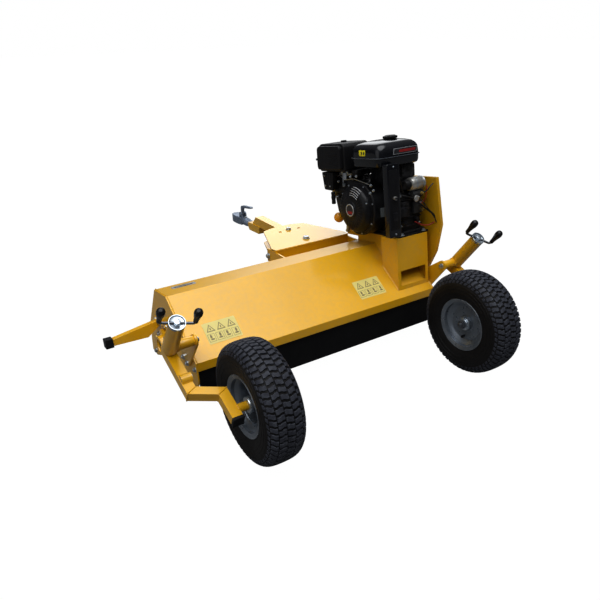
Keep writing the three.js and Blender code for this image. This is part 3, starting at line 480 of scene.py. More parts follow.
# ---------------------------------------------------------------- deck
for painted in ("deck_shell", "left_end_plate", "right_end_plate", "engine_pedestal", "belt_guard_back",
                "belt_guard_cover", "hitch_frame", "drawbar", "left_wheel_arm", "right_wheel_arm",
                "side_guide_arm"):
    dress(painted, PAINT)
for dark, finish in (("front_flap", RUBBER), ("rear_flap", RUBBER), ("drive_belt", RUBBER),
                     ("flail_rotor", CAST_IRON), ("engine_pulley", CAST_IRON), ("rotor_pulley", CAST_IRON),
                     ("idler_pulley", CAST_IRON), ("engine_crankshaft", ZINC),
                     ("side_guide_cap", BLACK_PLASTIC),
                     ("left_arm_cap", BLACK_PLASTIC), ("right_arm_cap", BLACK_PLASTIC)):
    dress(dark, finish, 1.0)


def slope_point(x, y, lift):
    """A point that stands off the deck's rear slope."""
    share = (SLOPE_TOP[0] - y) / SLOPE_RUN
    return Vector((x, y, SLOPE_TOP[1] - SLOPE_DROP * share)) + SLOPE_OFF * lift


def slope_matrix(x, y, lift):
    """Local X runs right along the slope, local Y up it, local Z off it."""
    turn = Matrix((RIGHT, SLOPE_UP, SLOPE_OFF)).transposed().to_4x4()
    return Matrix.Translation(slope_point(x, y, lift)) @ turn


def decal(name, x, y):
    """A plain pictogram sheet: three triangles over a row of small blocks."""
    piece = Piece(name)
    matrix = slope_matrix(x, y, 0.5)
    half_w, half_h = 74, 49
    piece.slab(round_rect(-half_w, half_w, -half_h, half_h, 5), "z", 0, 0.5,
               LABEL_YELLOW, 0, matrix)
    for i in range(3):
        cx = -46 + 46 * i
        outer = [(cx - 19, 6), (cx + 19, 6), (cx, 40)]
        inner = [(cx - 13.5, 9.5), (cx + 13.5, 9.5), (cx, 33.5)]
        piece.slab(outer, "z", 0.5, 0.7, LABEL_FAINT, 0, matrix)
        piece.slab(inner, "z", 0.5, 0.95, LABEL_YELLOW, 0, matrix)
        piece.slab(ellipse(cx, 18.0, 2.6, 6.0, 16), "z", 0.5, 1.15, LABEL_FAINT, 0, matrix)
    for i in range(4):
        cx = -54 + 36 * i
        piece.slab(rect(cx - 15, cx + 15, -40, -4), "z", 0.5, 0.7, LABEL_FAINT, 0, matrix)
        piece.slab(rect(cx - 13.6, cx + 13.6, -38.6, -5.4), "z", 0.5, 0.95,
                   LABEL_YELLOW, 0, matrix)
        piece.slab(ellipse(cx - 2 + 4 * (i % 2), -16, 4.5, 9.0, 16), "z", 0.5, 1.15, LABEL_FAINT, 0, matrix)
        piece.slab(ellipse(cx + 1, -29, 9.0, 3.6, 16), "z", 0.5, 1.15, LABEL_FAINT, 0, matrix)
    piece.finish("chassis")


decal("left_pictogram_sheet", -470, -108)
decal("right_pictogram_sheet", 290, -114)


def rating_plate():
    piece = Piece("rating_plate")
    piece.slab(round_rect(-569, -460, 130, 162, 6), "z", 444.4, 445.2, LABEL_SILVER, 0)
    piece.slab(ellipse(-514, 146, 46, 12.5), "z", 444.6, 445.5, LABEL_INK, 0)
    piece.slab(round_rect(-548, -482, 143, 149, 2), "z", 445, 445.8, LABEL_SILVER, 0)
    for x in (-563, -466):
        piece.rod((x, 146, 444.5), (x, 146, 446.5), 2.6, ZINC, 16)
    piece.finish("chassis")


def deck_fasteners():
    """Bolts on the end plates and the hinge rods' ends."""
    piece = Piece("deck_fasteners")
    for sign in (-1, 1):
        face = sign * END_FACE
        for y, z in ((-172, 192), (336, 222), (262, 186), (330, 116)):
            piece.bolt((face, y, z), (sign, 0, 0), 15, 6.5)
        for y, z in ((-78, 270), (-122, 286), (-86, 224), (-121, 206)):
            piece.bolt((face + sign * BRACKET_SHEET, y, z), (sign, 0, 0), 15, 6.5)
    piece.finish("chassis")


def weld_line(piece, start, end, radius=2.6):
    """A rippled bead along a joint between two plates."""
    a, b = Vector(start), Vector(end)
    count = max(2, int((b - a).length / 7))
    beads = [a.lerp(b, i / count) for i in range(count + 1)]
    piece.hose(beads, radius, PAINT, 8, 2)


def weld_beads():
    piece = Piece("deck_welds")
    for sign in (-1, 1):
        x = sign * 625
        weld_line(piece, (x, -186, 222), (x, 50, 443))
        weld_line(piece, (x, 52, 445), (x, 192, 445))
    weld_line(piece, (470, -32, 367), (470, 50, 445.5))
    weld_line(piece, (469, 52, 446.5), (469, 186, 446.5))
    weld_line(piece, (432, -156, 252), (432, -47, 353))
    piece.finish("chassis")


def bearing_housing(side, sign):
    piece = Piece(side + "_bearing_unit")
    matrix = aim((sign * (END_FACE + 0.4), *ROTOR), (sign, 0, 0))
    piece.lathe([(0, 17.6), (0, 69), (2, 70), (9, 70), (11.5, 67), (12.5, 50), (16, 45), (31, 42),
                 (33.5, 39),
                 (33.5, 30), (28, 28), (28, 17.6), (0, 17.6)], matrix, PAINT, 72)
    for degrees in (45, 135, 225, 315):
        piece.bolt((sign * (END_FACE + 11), *polar(ROTOR, 57, degrees)), (sign, 0, 0), 17, 7)
    piece.rod((sign * (END_FACE + 24), ROTOR[0] + 28, ROTOR[1] + 28),
              (sign * (END_FACE + 31), ROTOR[0] + 36,
              ROTOR[1] + 36), 3, BRASS, 12)
    piece.finish("chassis", [side + "_bearing_housing"], "cast")


# ---------------------------------------------------------------- wheels
TYRE_LINE = [(0, 228), (22, 227.4), (42, 225), (57, 218.5), (67, 207), (73, 190), (74.5, 170), (72.5, 147),
             (67, 128),
             (61.5, 116.5), (56, 107)]
TREAD_DEPTH = 6.0
BLOCKS = 56


def tyre_curve():
    """Points of half the tyre's outer line with their distance from the crown, finely spaced."""
    fine = spline([(v, r, 0) for v, r in TYRE_LINE], 8)
    lengths = [0.0]
    for a, b in zip(fine, fine[1:]):
        lengths.append(lengths[-1] + (b - a).length)
    return fine, lengths


CURVE, CURVE_LENGTHS = tyre_curve()


def tyre_point(across, around, lift):
    """A point of the tyre's outside: distance across from the crown, angle around, height off the surface."""
    s = abs(across)
    i = max(1, next((k for k, length in enumerate(CURVE_LENGTHS) if length >= s), len(CURVE_LENGTHS) - 1))
    a, b = CURVE[i - 1], CURVE[i]
    t = (s - CURVE_LENGTHS[i - 1]) / (CURVE_LENGTHS[i] - CURVE_LENGTHS[i - 1])
    p = a.lerp(b, min(1.0, t))
    along = (b - a).normalized()
    out = Vector((-along.y, along.x, 0))
    if out.y < 0 and abs(out.x) < 0.5:
        out = -out
    v, r = p.x + out.x * lift, p.y + out.y * lift
    v = math.copysign(v, across) if across else 0.0
    return Vector((v, r * math.cos(around), r * math.sin(around)))


def tread_block(bm, centre, width, height, step, around):
    """One wavy block: its ends stand at two levels with a slanted middle, as turf tyres have."""
    pitch = 1 / WHEEL_R
    columns = [(-0.5, 1), (-0.18, 1), (0.18, -1), (0.5, -1)]
    rows = []
    for lift, inset in ((-TREAD_DEPTH - 1.5, 0.0), (-0.9, 0.6), (0.0, 1.5)):
        ring = []
        for share, level in columns:
            ring.append((centre + share * (width - 2 * inset), (level * step + height / 2 - inset) * pitch,
                         lift))
        for share, level in reversed(columns):
            ring.append((centre + share * (width - 2 * inset), (level * step - height / 2 + inset) * pitch,
                         lift))
        rows.append([bm.verts.new(tyre_point(s, around + a, up)) for s, a, up in ring])
    for low, high in zip(rows, rows[1:]):
        for i in range(8):
            j = (i + 1) % 8
            bm.faces.new((low[i], low[j], high[j], high[i]))
    top = rows[-1]
    for i in range(3):
        bm.faces.new((top[i], top[i + 1], top[6 - i], top[7 - i]))
    base = rows[0]
    for i in range(3):
        bm.faces.new((base[7 - i], base[6 - i], base[i + 1], base[i]))


def tyre(side, sign):
    piece = Piece(side + "_turf_tyre")
    outer = [(v, r - TREAD_DEPTH * max(0.0, min(1.0, (94 - length) / 12)))
             for (v, r, _), length in zip(CURVE, CURVE_LENGTHS)]
    inner = [(51, 107), (53, 128), (66, 168), (52, 203), (26, 214), (0, 216)]
    half = outer[::2] + inner
    whole = half + [(-v, r) for v, r in reversed(half[1:-1])]
    whole.append(whole[0])
    centre = Matrix.Translation((sign * WHEEL_X, *AXLE))
    piece.lathe(whole, centre, SIDEWALL, 120)
    bm = bmesh.new()
    for row, across in enumerate((-62, -31, 0, 31, 62)):
        for i in range(BLOCKS):
            around = 2 * math.pi * (i + 0.5 * (row % 2)) / BLOCKS
            tread_block(bm, across, 29.0, 17.5, 2.2 if row % 2 else -2.2, around)
    for row, across in enumerate((-85, 85)):
        for i in range(BLOCKS):
            around = 2 * math.pi * (i + 0.5) / BLOCKS
            tread_block(bm, across, 13.0, 17.0, 2.0 if row else -2.0, around)
    bm.transform(centre)
    piece.take(bm, TREAD)
    for ring in (100, 114, 131):
        radius = tyre_point(ring, 0, 0)
        for face in (-1, 1):
            v, r = radius.x * face, radius.y
            piece.lathe([(v - 0.8 * face, r - 2.2), (v + 0.9 * face, r - 1.2), (v + 0.9 * face, r + 1.2),
                         (v - 0.8 * face, r + 2.2), (v - 0.8 * face, r - 2.2)], centre, SIDEWALL, 96)
    piece.finish(side + "_wheel", [side + "_tyre"], "tyre", sharp=30)


def rim(side, sign):
    piece = Piece(side + "_disc_rim")
    centre = Matrix.Translation((sign * WHEEL_X, *AXLE)) @ Matrix.Scale(sign, 4, RIGHT)
    barrel = [(66, 117), (64.5, 118.6), (61.5, 118), (60, 112), (57, 105), (46, 103), (36, 89), (28, 85.5),
              (-28, 85.5),
              (-36, 89), (-46, 103), (-57, 105), (-60, 112), (-61.5, 118), (-64.5, 118.6), (-66, 117),
              (-63.5, 110),
              (-59, 100.5), (-46, 98.5), (-40, 87), (-35, 82), (-32, 74), (-34, 62), (-29, 46),
              (-30, 32), (-43, 30), (-45.5, 27), (-45.5, 11), (45.5, 11), (45.5, 27), (43, 30), (-19, 32),
              (-20, 46),
              (-25, 62), (-26, 74), (-22, 80), (-15, 81.5), (28, 81.5), (37, 85), (46, 98.5), (59, 100.5),
              (63.5, 110),
              (66, 117)]
    piece.lathe(barrel, centre, RIM, 120)
    for face in (-1, 1):
        hub = [(46.5 * face, 12), (46.5 * face, 29), (44 * face, 30.6), (31 * face, 30.6), (31 * face, 12)]
        piece.lathe([*hub, hub[0]], centre, ZINC, 64)
    stem = centre @ Vector((-28, 10, -62))
    tip = centre @ Vector((-50, 10, -64))
    piece.rod(stem, tip, 5.5, BLACK_PLASTIC, 18)
    piece.finish(side + "_wheel", [side + "_rim"], "rim_steel")


def axle_nut(side, sign):
    piece = Piece(side + "_castle_nut")
    nut = aim((sign * 470, *AXLE), (sign, 0, 0))
    piece.slab(hexagon(19), "x", 1, 14, DARK_STEEL, 1.2, nut)
    piece.lathe([(-9, 0), (-9, 9), (-7.5, 11), (1.5, 11), (1.5, 0)], nut, DARK_STEEL, 32)
    piece.lathe([(14, 10.3), (14, 23.5), (15, 24.3), (18.8, 24.3), (19.4, 23.5), (19.4, 10.3), (14, 10.3)],
                nut, ZINC, 48)
    piece.finish(side + "_wheel_arm", [side + "_axle_nut"], "zinc")


# ---------------------------------------------------------------- jacks
def jack_point(sign, up):
    """A point on the jack's axis, at a height up from the tube's lower end."""
    return Vector((sign * JACK_X, *JACK_TOP)) - JACK_UP * (JACK_LENGTH - up)


def jack_tube(side, sign):
    piece = Piece(side + "_jack_body")
    low = aim(jack_point(sign, 0), JACK_UP)
    piece.lathe([(0, 25.2), (0, 28.8), (1.2, 30), (186.8, 30), (188, 28.8), (188, 25.2), (0, 25.2)], low,
                PAINT, 72)
    boss = jack_point(sign, BOSS_UP)
    sheet = [polar((boss.y, boss.z), 25, a) for a in range(50, 236, 8)]
    sheet += [(-128, 194), (-74, 204), (-56, 278), (-122, 306)]
    faces = sorted((sign * (END_FACE + 0.5), sign * (END_FACE + BRACKET_SHEET)))
    piece.slab(sheet, "x", *faces, PAINT, 1.2)
    inner = Vector((sign * (END_FACE + 8), boss.y, boss.z))
    piece.rod(inner, Vector((sign * (JACK_X - 24), boss.y, boss.z)), 20, PAINT, 56, 2.0)
    piece.bolt(Vector((sign * (END_FACE + 0.5), boss.y, boss.z)), (-sign, 0, 0))
    for k in range(22):
        angle = 2 * math.pi * k / 22
        middle = Vector((sign * (JACK_X - 26), boss.y, boss.z))
        around = Vector((sign * -5.0 * abs(math.cos(angle)), 21 * math.cos(angle), 21 * math.sin(angle)))
        piece.rod(middle + around, middle + around + Vector((sign * 7, 0, 0)), 3.2, PAINT, 10)
    piece.finish("chassis", [side + "_jack_tube"], "deck_paint")


def crank_axes(side, sign):
    """The top of the jack and the direction of the crank's bar."""
    turn = math.radians(CRANK_TURN[side])
    across = Vector((1, 0, 0)) * math.cos(turn) + Vector((0, -JACK_UP.z, JACK_UP.y)) * math.sin(turn)
    return jack_point(sign, JACK_LENGTH), across


def jack_crank(side, sign):
    piece = Piece(side + "_crank_handle")
    top, across = crank_axes(side, sign)
    head = aim(top, JACK_UP)
    piece.lathe([(0.6, 0), (0.6, 30.4), (1.6, 31), (11.6, 31), (12.4, 30.2), (12.4, 27.6), (7.5, 25.5),
                 (5.5, 18),
                 (5.5, 0)], head, ZINC, 72)
    piece.slab(hexagon(13, 10), "x", 5, 19, ZINC, 1.4, head)
    for sense in (-1, 1):
        bend = [top + across * (sense * r) + JACK_UP * u
                for r, u in ((0, 7), (28, 7), (52, 7.4), (60, 11), (62, 20), (62, 33))]
        piece.hose(bend, 5, DARK_STEEL, 16, 6)
    piece.rod(jack_point(sign, 44), top, 8, DARK_STEEL, 24)
    piece.finish(side + "_crank", [side + "_jack_crank"], "zinc")


def crank_grips(side, sign):
    top, across = crank_axes(side, sign)
    profile = [(18, 0), (18, 7.5), (19, 8.6), (26, 9), (40, 10), (56, 12.6), (70, 15.2), (80, 15.6),
               (88, 14.2),
               (93.5, 10), (95.8, 5), (96, 0)]
    for label, sense in (("inner", -sign), ("outer", sign)):
        piece = Piece(f"{side}_{label}_handgrip")
        fine = [tuple(p)[:2] for p in spline([(a, r, 0) for a, r in profile], 3)]
        fine[0], fine[-1] = (18, 0), (96, 0)
        fine = [(a, max(0.0, r)) for a, r in fine]
        piece.lathe(fine, aim(top + across * (sense * 62), JACK_UP), GRIP, 40)
        piece.finish(f"{side}_crank", [f"{side}_crank_grip_{label}"], "black_plastic")


def arm_point(x, s, n):
    """A point of the wheel arm's own frame: s runs rearwards down the arm and n stands below it."""
    drop = math.radians(28.5)
    return Vector((x, AXLE[0] - s * math.cos(drop) + n * math.sin(drop),
                   AXLE[1] - s * math.sin(drop) - n * math.cos(drop)))


def arm_details(side, sign):
    """Weld beads at the arm's corners and under its bush, and the small tab."""
    piece = Piece(side + "_arm_details")
    corners = [((755, -121), (715, -140)), ((656, -76), (616, -95))]
    for (xa, sa), (xb, sb) in corners:
        weld_line(piece, arm_point(sign * xa, sa, -10.5), arm_point(sign * xb, sb, -10.5), 2.4)
        weld_line(piece, arm_point(sign * xa, sa, -10), arm_point(sign * xa, sa, 30), 2.4)
    for s in (-203, -167):
        weld_line(piece, arm_point(sign * 715, s, -11), arm_point(sign * 752, s, -11), 2.4)
    bush = arm_point(sign * 711, -185, -10)
    piece.rod(bush, bush - Vector((sign * 3, 0, 0)), 11, ZINC, 24)
    piece.finish(side + "_wheel_arm")


# ---------------------------------------------------------------- hitch
def hitch_details():
    piece = Piece("hitch_fasteners", LEVEL)
    for x, sense in ((HITCH_X - 226, -1), (HITCH_X + 226, 1)):
        piece.bolt((x, 405, 375), (sense, 0, 0), 19, 9)
    for x in (HITCH_X - 221, HITCH_X + 221):
        weld_line(piece, (x, 338, 415.4), (x, 370, 415.4), 2.4)
    weld_line(piece, (HITCH_X - 216, 335.5, 418), (HITCH_X + 216, 335.5, 418), 2.2)
    piece.finish("chassis")


def hitch_bolt(name, node, body, y, radius, across, low):
    """A bolt through the hitch plate. The one that reaches below the drawbar has a nut."""
    piece = Piece(name, LEVEL)
    piece.lathe([(0, 0), (0, across * 0.62), (0.8, across * 0.64), (2.4, across * 0.64), (3, across * 0.6),
                 (3, 0)],
                aim((HITCH_X, y, HITCH_TOP), UP), ZINC, 40)
    middle = (HITCH_X, y)
    piece.slab(hexagon(across * 0.54, 8, middle), "z", HITCH_TOP + 3, HITCH_TOP + 11.2, ZINC, 1.3)
    piece.rod((*middle, low), (*middle, HITCH_TOP + 2), radius, ZINC, 32)
    if low < 350:
        piece.slab(hexagon(17, 0, middle), "z", 331.5, 347, ZINC, 1.3)
    piece.finish(body, [node], "zinc")


def drawbar_details():
    """Weld lines round the coupler sleeve."""
    piece = Piece("drawbar_details", LEVEL)
    for x in (HITCH_X - 25.5, HITCH_X + 25.5):
        weld_line(piece, (x, 872, 363.5), (x, 946, 363.5), 2.4)
    piece.finish("drawbar")


def coupler():
    piece = Piece("ball_coupler", LEVEL)
    shank = aim((HITCH_X, 934, 340), FRONT)
    piece.lathe([(0, 0), (0, 20), (1.5, 21.5), (124, 21.5), (128, 24.5), (150, 24.8), (170, 23.5),
                 (186, 22), (186, 0)],
                shank, SLATE, 48)
    plan = [(-22, 1106), (-30, 1150), (-31, 1196), (-24, 1228), (-8, 1237.5), (8, 1237.5), (24, 1228),
            (31, 1196),
            (30, 1150), (22, 1106)]
    outline = rounded([(HITCH_X + x, y) for x, y in plan], 9, 3)
    piece.slab(outline, "z", 315, 361, SLATE, 7.0, segments=4)
    for x in (-17, 9):
        side = rounded([(1106, 352), (1144, 352), (1142, 384), (1134, 391.5), (1116, 391.5), (1108, 384)],
                       5, 3)
        piece.slab(side, "x", HITCH_X + x, HITCH_X + x + 8, SLATE, 1.5)
    piece.rod((HITCH_X - 23, 1125, 378), (HITCH_X + 23, 1125, 378), 4.2, SLATE, 20)
    piece.bolt((HITCH_X, 1085, 363), UP, 15, 7)
    piece.finish("drawbar", ["coupler_body"], "zinc")


def latch():
    piece = Piece("coupler_latch_lever", LEVEL)
    side = [(1115, 368), (1134, 368), (1134, 420), (1124, 431), (1100, 437), (1030, 446), (1000, 449),
            (997, 441),
            (1028, 434), (1092, 424), (1112, 414), (1116, 402)]
    piece.slab(rounded(side, 6, 3), "x", HITCH_X - 7.6, HITCH_X + 7.6, SLATE, 2.6, segments=3)
    piece.rod((HITCH_X - 8, 1006, 446), (HITCH_X + 8, 1006, 446), 4.0, SLATE, 20)
    piece.finish("coupler_latch", ["coupler_latch"], "zinc")


# ---------------------------------------------------------------- engine
BARREL = Matrix.Translation((546, 110, 640)) @ Matrix.Rotation(math.radians(25), 4, "X")


def engine_block():
    piece = Piece("engine_crankcase")
    base = round_rect(446, 640, -157, 150, 12)
    piece.slab(base, "z", 500.6, 508, BLACK_SATIN, 1.5)
    foot = round_rect(462, 632, -140, 132, 16)
    piece.slab(foot, "z", 507, 520, BLACK_CAST, 3)
    case = round_rect(472, 624, -126, 116, 26)
    piece.slab(case, "z", 516, 704, BLACK_CAST, 9, segments=3)
    cover = [polar(CRANKSHAFT, 104, a) for a in range(0, 360, 9)]
    piece.slab(cover, "x", 616, 634, BLACK_CAST, 3)
    for a in range(15, 375, 45):
        piece.screw((633, *polar(CRANKSHAFT, 92, a)), RIGHT, 12, 6)
    ring = aim((618, *CRANKSHAFT), RIGHT)
    piece.lathe([(0, 13), (0, 40), (24, 36), (31.6, 34), (31.6, 13), (0, 13)], ring, BLACK_CAST, 48)
    piece.box(-54, 54, -20, 142, -40, 60, BLACK_CAST, 4, BARREL)
    for i in range(9):
        y = 22 + i * 13.2
        fin = round_rect(-73, 73, -58, 78, 14, 3)
        piece.slab(fin, "y", y, y + 3.4, BLACK_CAST, 0.8, BARREL)
    for x, y in ((476, -150), (610, -150), (476, 143), (610, 143)):
        piece.bolt((x, y, 508), UP, 15, 7)
    for z in (540, 580, 622, 664):
        piece.box(480, 616, -132, -124, z, z + 5, BLACK_CAST, 1.2)
    for x, z in ((492, 548), (604, 548), (492, 690), (604, 690), (548, 694)):
        piece.screw((x, -126, z), BACK, 12, 6)
    piece.rod((580, -127, 570), (580, -148, 566), 12, BLACK_PLASTIC, 24)
    piece.rod((600, -126, 640), (600, -150, 640), 9, ZINC, 20)
    piece.box(488, 530, -146, -124, 590, 660, BLACK_CAST, 4)
    piece.box(560, 612, -142, -124, 596, 652, CAST_IRON, 4)
    piece.finish("chassis", ["engine_block"], "engine_cast")


def valve_cover():
    piece = Piece("rocker_cover")
    plate = round_rect(-52, 52, -36, 56, 12, 4)
    piece.slab(plate, "y", 145.8, 151, BLACK_SATIN, 1.5, BARREL)
    piece.slab(round_rect(-44, 44, -28, 48, 12, 4), "y", 150, 184, BLACK_SATIN, 6, BARREL, 3)
    for x, z in ((-45, -29), (45, -29), (-45, 49), (45, 49)):
        start = BARREL @ Vector((x, 151, z))
        piece.screw(start, BARREL.to_3x3() @ Vector((0, 1, 0)), 11, 5)
    piece.finish("chassis", ["valve_cover"], "engine_cast")


def fan_housing():
    piece = Piece("fan_cowl")
    outline = [polar(CRANKSHAFT, 131, a) for a in range(78, 331, 9)]
    outline += [(226, 602), (251, 700), (240, 784), (222, 796), (122, 799)]
    piece.slab(outline, "x", COWL_FACE, 467, BLACK_SATIN, 9, segments=4)
    inner = [polar(CRANKSHAFT, 118, a) for a in range(0, 360, 8)]
    piece.slab(inner, "x", 380.5, 388, BLACK_SATIN, 2)
    for a in (20, 62, 118, 165, 212, 258, 312):
        piece.screw((COWL_FACE, *polar(CRANKSHAFT, 122, a)), LEFT, 9, 3.5)
    for i in range(5):
        z = 716 + 14 * i
        piece.box(383.6, 386, 150, 222, z, z + 5, BLACK_SATIN, 1.0)
    piece.box(474, 600, -108, 58, 700, 831, BLACK_SATIN, 4)
    piece.box(420, 500, -163, -126, 596, 640, BLACK_SATIN, 2)
    piece.box(394, 476, 60, 196, 786, 815, BLACK_CAST, 5)
    piece.box(520, 596, -118, -106, 770, 826, BLACK_CAST, 3)
    grey = round_rect(418, 454, 596, 640, 3, 2)
    piece.slab(grey, "y", CRANKSHAFT[0] - 133.2, CRANKSHAFT[0] - 130.4, LABEL_GREY, 0.3)
    piece.finish("chassis", ["fan_housing"], "dark_paint")


def recoil_cover():
    piece = Piece("recoil_starter")
    axis = aim((RECOIL_BACK, *CRANKSHAFT), LEFT)
    piece.lathe([(0.6, 0), (0.6, 112), (3, 114), (12, 113.4), (20, 110), (28, 103), (34, 95), (37, 84),
                 (39, 66),
                 (40.4, 48), (40.6, 42), (43.5, 40), (45, 37), (45.6, 20), (45.8, 0)], axis, BLACK_SATIN,
                 96)
    count = 34
    for i in range(count):
        turn = axis @ Matrix.Rotation(2 * math.pi * i / count, 4, "X")
        rib = [(38.8, 52), (37.6, 76), (34.8, 92), (36.6, 92), (39.6, 77), (41.0, 52)]
        piece.slab(rib, "z", -1.9, 1.9, BLACK_SATIN, 0.5, turn)
    piece.lathe([(45.4, 24.5), (45.4, 30.5), (47.6, 30), (48.4, 27.5), (47.6, 25), (45.4, 24.5)], axis,
                LABEL_SILVER, 64)
    piece.lathe([(45.2, 0), (45.2, 25), (46.6, 25), (46.6, 0)], axis, LABEL_INK, 48)
    y, z = CRANKSHAFT
    badge = [(y - 17, z - 19), (y + 17, z - 19), (y + 19, z - 5), (y - 19, z - 5)]
    piece.slab(rounded(badge, 5, 3), "x", 336.8, 338, LABEL_RED, 0)
    # Painted highlight: five thin white arcs on the dome's upper side stand in for the overhead light's
    # reflection on the cover.
    for k, (radius, depth) in enumerate(((72, 38.3), (82, 37.2), (92, 34.8), (101, 29.5), (109, 21.6))):
        start, stop = 86 + 2 * k, 134 - 2 * k
        outer = [(radius + 0.9, a) for a in range(start, stop + 1, 4)]
        inner = [(radius - 0.9, a) for a in range(stop, start - 1, -4)]
        arc = [polar(CRANKSHAFT, r, a) for r, a in outer + inner]
        face = RECOIL_BACK - depth
        piece.slab(arc, "x", face - 1.6, face + 4, WHITE_ROPE_AND_PAINTED_HIGHLIGHT, 0)
    for a in (40, 160, 280):
        piece.screw((365, *polar(CRANKSHAFT, 107, a)), LEFT, 9, 5)
    piece.finish("chassis", ["recoil_cover"], "dark_paint")


def recoil_grip():
    piece = Piece("recoil_handle")
    handle = [(652, 0), (652, 8), (655, 10.4), (672, 9.4), (684, 11.4), (696, 9.4), (708, 10.6), (712, 8),
              (712, 0)]
    piece.lathe([(z - 652, r) for z, r in handle], aim((338, 192, 652), UP), BLACK_PLASTIC, 32)
    piece.rod((344, 192, 684), (366, 192, 684), 3.2, WHITE_ROPE_AND_PAINTED_HIGHLIGHT, 16)
    piece.rod((366, 192, 684), (383, 192, 684), 8, BLACK_PLASTIC, 24)
    piece.finish("recoil_grip", ["recoil_grip"], "black_plastic")


def tank_ring(inset, z, radius):
    """One level of the tank's rounded outline."""
    corners = [(352 + inset, -160 + inset), (610 - inset, -160 + inset), (610 - inset, 66 - inset),
               (352 + inset, 66 - inset)]
    return [(x, y, z) for x, y in rounded(corners, radius, 7)]


def fuel_tank():
    piece = Piece("fuel_tank_shell")
    levels = [(44, 832, 30), (16, 833, 38), (8, 838, 40), (5, 848, 40), (4, 871.5, 40), (4, 879, 40),
              (5, 896, 40),
              (7, 912, 40), (13, 925, 42), (24, 935, 44), (44, 942, 44), (70, 946, 40), (92, 947.5, 30)]
    bm = bmesh.new()
    rings = [[bm.verts.new(p) for p in tank_ring(*level)] for level in levels]
    count = len(rings[0])
    for a, b in zip(rings, rings[1:]):
        for i in range(count):
            j = (i + 1) % count
            bm.faces.new((a[i], a[j], b[j], b[i]))
    bm.faces.new(rings[0][::-1])
    bm.faces.new(rings[-1])
    piece.take(bm, BLACK_GLOSS)
    lip = [(x, y) for x, y, _ in tank_ring(0, 0, 42)]
    piece.slab(lip, "z", 873.5, 876.5, SEAM, 0.8)
    piece.lathe([(0, 0), (0, 34), (6, 31), (7.5, 26), (7.5, 0)], aim((505, -60, 940), UP), BLACK_SATIN, 48)
    piece.slab(round_rect(-58, -14, 886, 912, 2, 2), "x", 355.2, 357.5, LABEL_BRIGHT, 0.2)
    for y in (-50, -34):
        piece.slab(ellipse(y, 898, 4.5, 7.5, 16), "x", 354.7, 356, LABEL_INK, 0)
    frame_outline = rounded([(436, 884), (574, 884), (580, 910), (442, 910)], 3, 2)
    piece.slab(frame_outline, "y", -157.2, -153, LABEL_SILVER, 0.2)
    piece.slab(rounded([(439, 886.5), (571.5, 886.5), (576.5, 907.5), (444.5, 907.5)], 2, 2), "y", -157.6,
               -153, LABEL_INK, 0)
    piece.slab(rounded([(470, 891), (566, 891), (569, 903), (473, 903)], 2, 2), "y", -158.0, -153,
               LABEL_RED, 0)
    piece.finish("chassis", ["fuel_tank"], "gloss_plastic")


def fuel_cap():
    piece = Piece("filler_cap")
    axis = aim((505, -60, 949), UP)
    piece.lathe([(0, 0), (0, 31), (2, 33), (9, 33.4), (11, 31), (12, 26), (14.6, 22), (15, 0)], axis,
                BLACK_PLASTIC, 64)
    for i in range(20):
        a = 2 * math.pi * i / 20
        foot = axis @ Vector((2, 32.6 * math.cos(a), 32.6 * math.sin(a)))
        piece.rod(foot, foot + Vector((0, 0, 8)), 1.4, BLACK_PLASTIC, 8)
    piece.finish("fuel_cap", ["fuel_cap"], "black_plastic")


def air_cleaner():
    piece = Piece("air_cleaner_box")
    side = rounded([(90, 812), (300, 807), (308, 830), (304, 926), (286, 940), (110, 943), (90, 930)], 12,
                   4)
    piece.slab(side, "x", 346, 500, BLACK_PLASTIC, 8, segments=4)
    front = rounded([(102, 822), (292, 818), (298, 836), (294, 920), (280, 931), (114, 933), (102, 922)],
                    12, 4)
    piece.slab(front, "x", 327, 352, BLACK_PLASTIC, 7, segments=4)
    for i in range(7):
        z = 838 + i * 9
        piece.box(325.8, 330, 122, 200, z, z + 3.4, BLACK_PLASTIC, 0.8)
    for i in range(5):
        x = 366 + i * 26
        piece.box(x, x + 10, 303, 308.6, 842, 906, BLACK_PLASTIC, 1.0)
    piece.box(330, 380, 306.0, 309.4, 862, 872, LABEL_GREY, 0.4)
    piece.rod((430, 200, 941), (430, 200, 949.5), 14, BLACK_PLASTIC, 24)
    piece.finish("chassis", ["air_cleaner_cover"], "black_plastic")


def air_duct():
    piece = Piece("air_cleaner_elbow")
    side = rounded([(206, 714), (276, 717), (290, 804), (194, 804)], 9, 4)
    piece.slab(side, "x", 346, 402, BLACK_PLASTIC, 5, segments=3)
    for i in range(4):
        piece.slab([(214 + 17 * i, 728), (220 + 17 * i, 728), (222 + 17 * i, 796), (214 + 17 * i, 796)],
                   "x", 344.6, 348,
                   BLACK_PLASTIC, 0.8)
    for y, z in ((222, 736), (262, 738), (268, 786)):
        piece.screw((346, y, z), LEFT, 9, 4)
    piece.finish("chassis", ["air_cleaner_base"], "black_plastic")


def carburettor():
    piece = Piece("carburettor_body")
    piece.slab(round_rect(394, 450, 264, 310, 8, 3), "z", 718, 768, ALUMINIUM, 4)
    piece.lathe([(0, 0), (0, 14), (4, 19), (24, 20), (28, 17), (28, 0)], aim((422, 287, 692), UP), BRASS,
                40)
    piece.rod((430, 256, 745), (430, 300, 745), 16, ALUMINIUM, 32)
    piece.rod((422, 283, 765), (422, 283, 804), 21, ALUMINIUM, 32)
    piece.screw((394, 290, 742), LEFT, 10, 5, BRASS)
    piece.finish("chassis", ["carburettor"], "zinc")


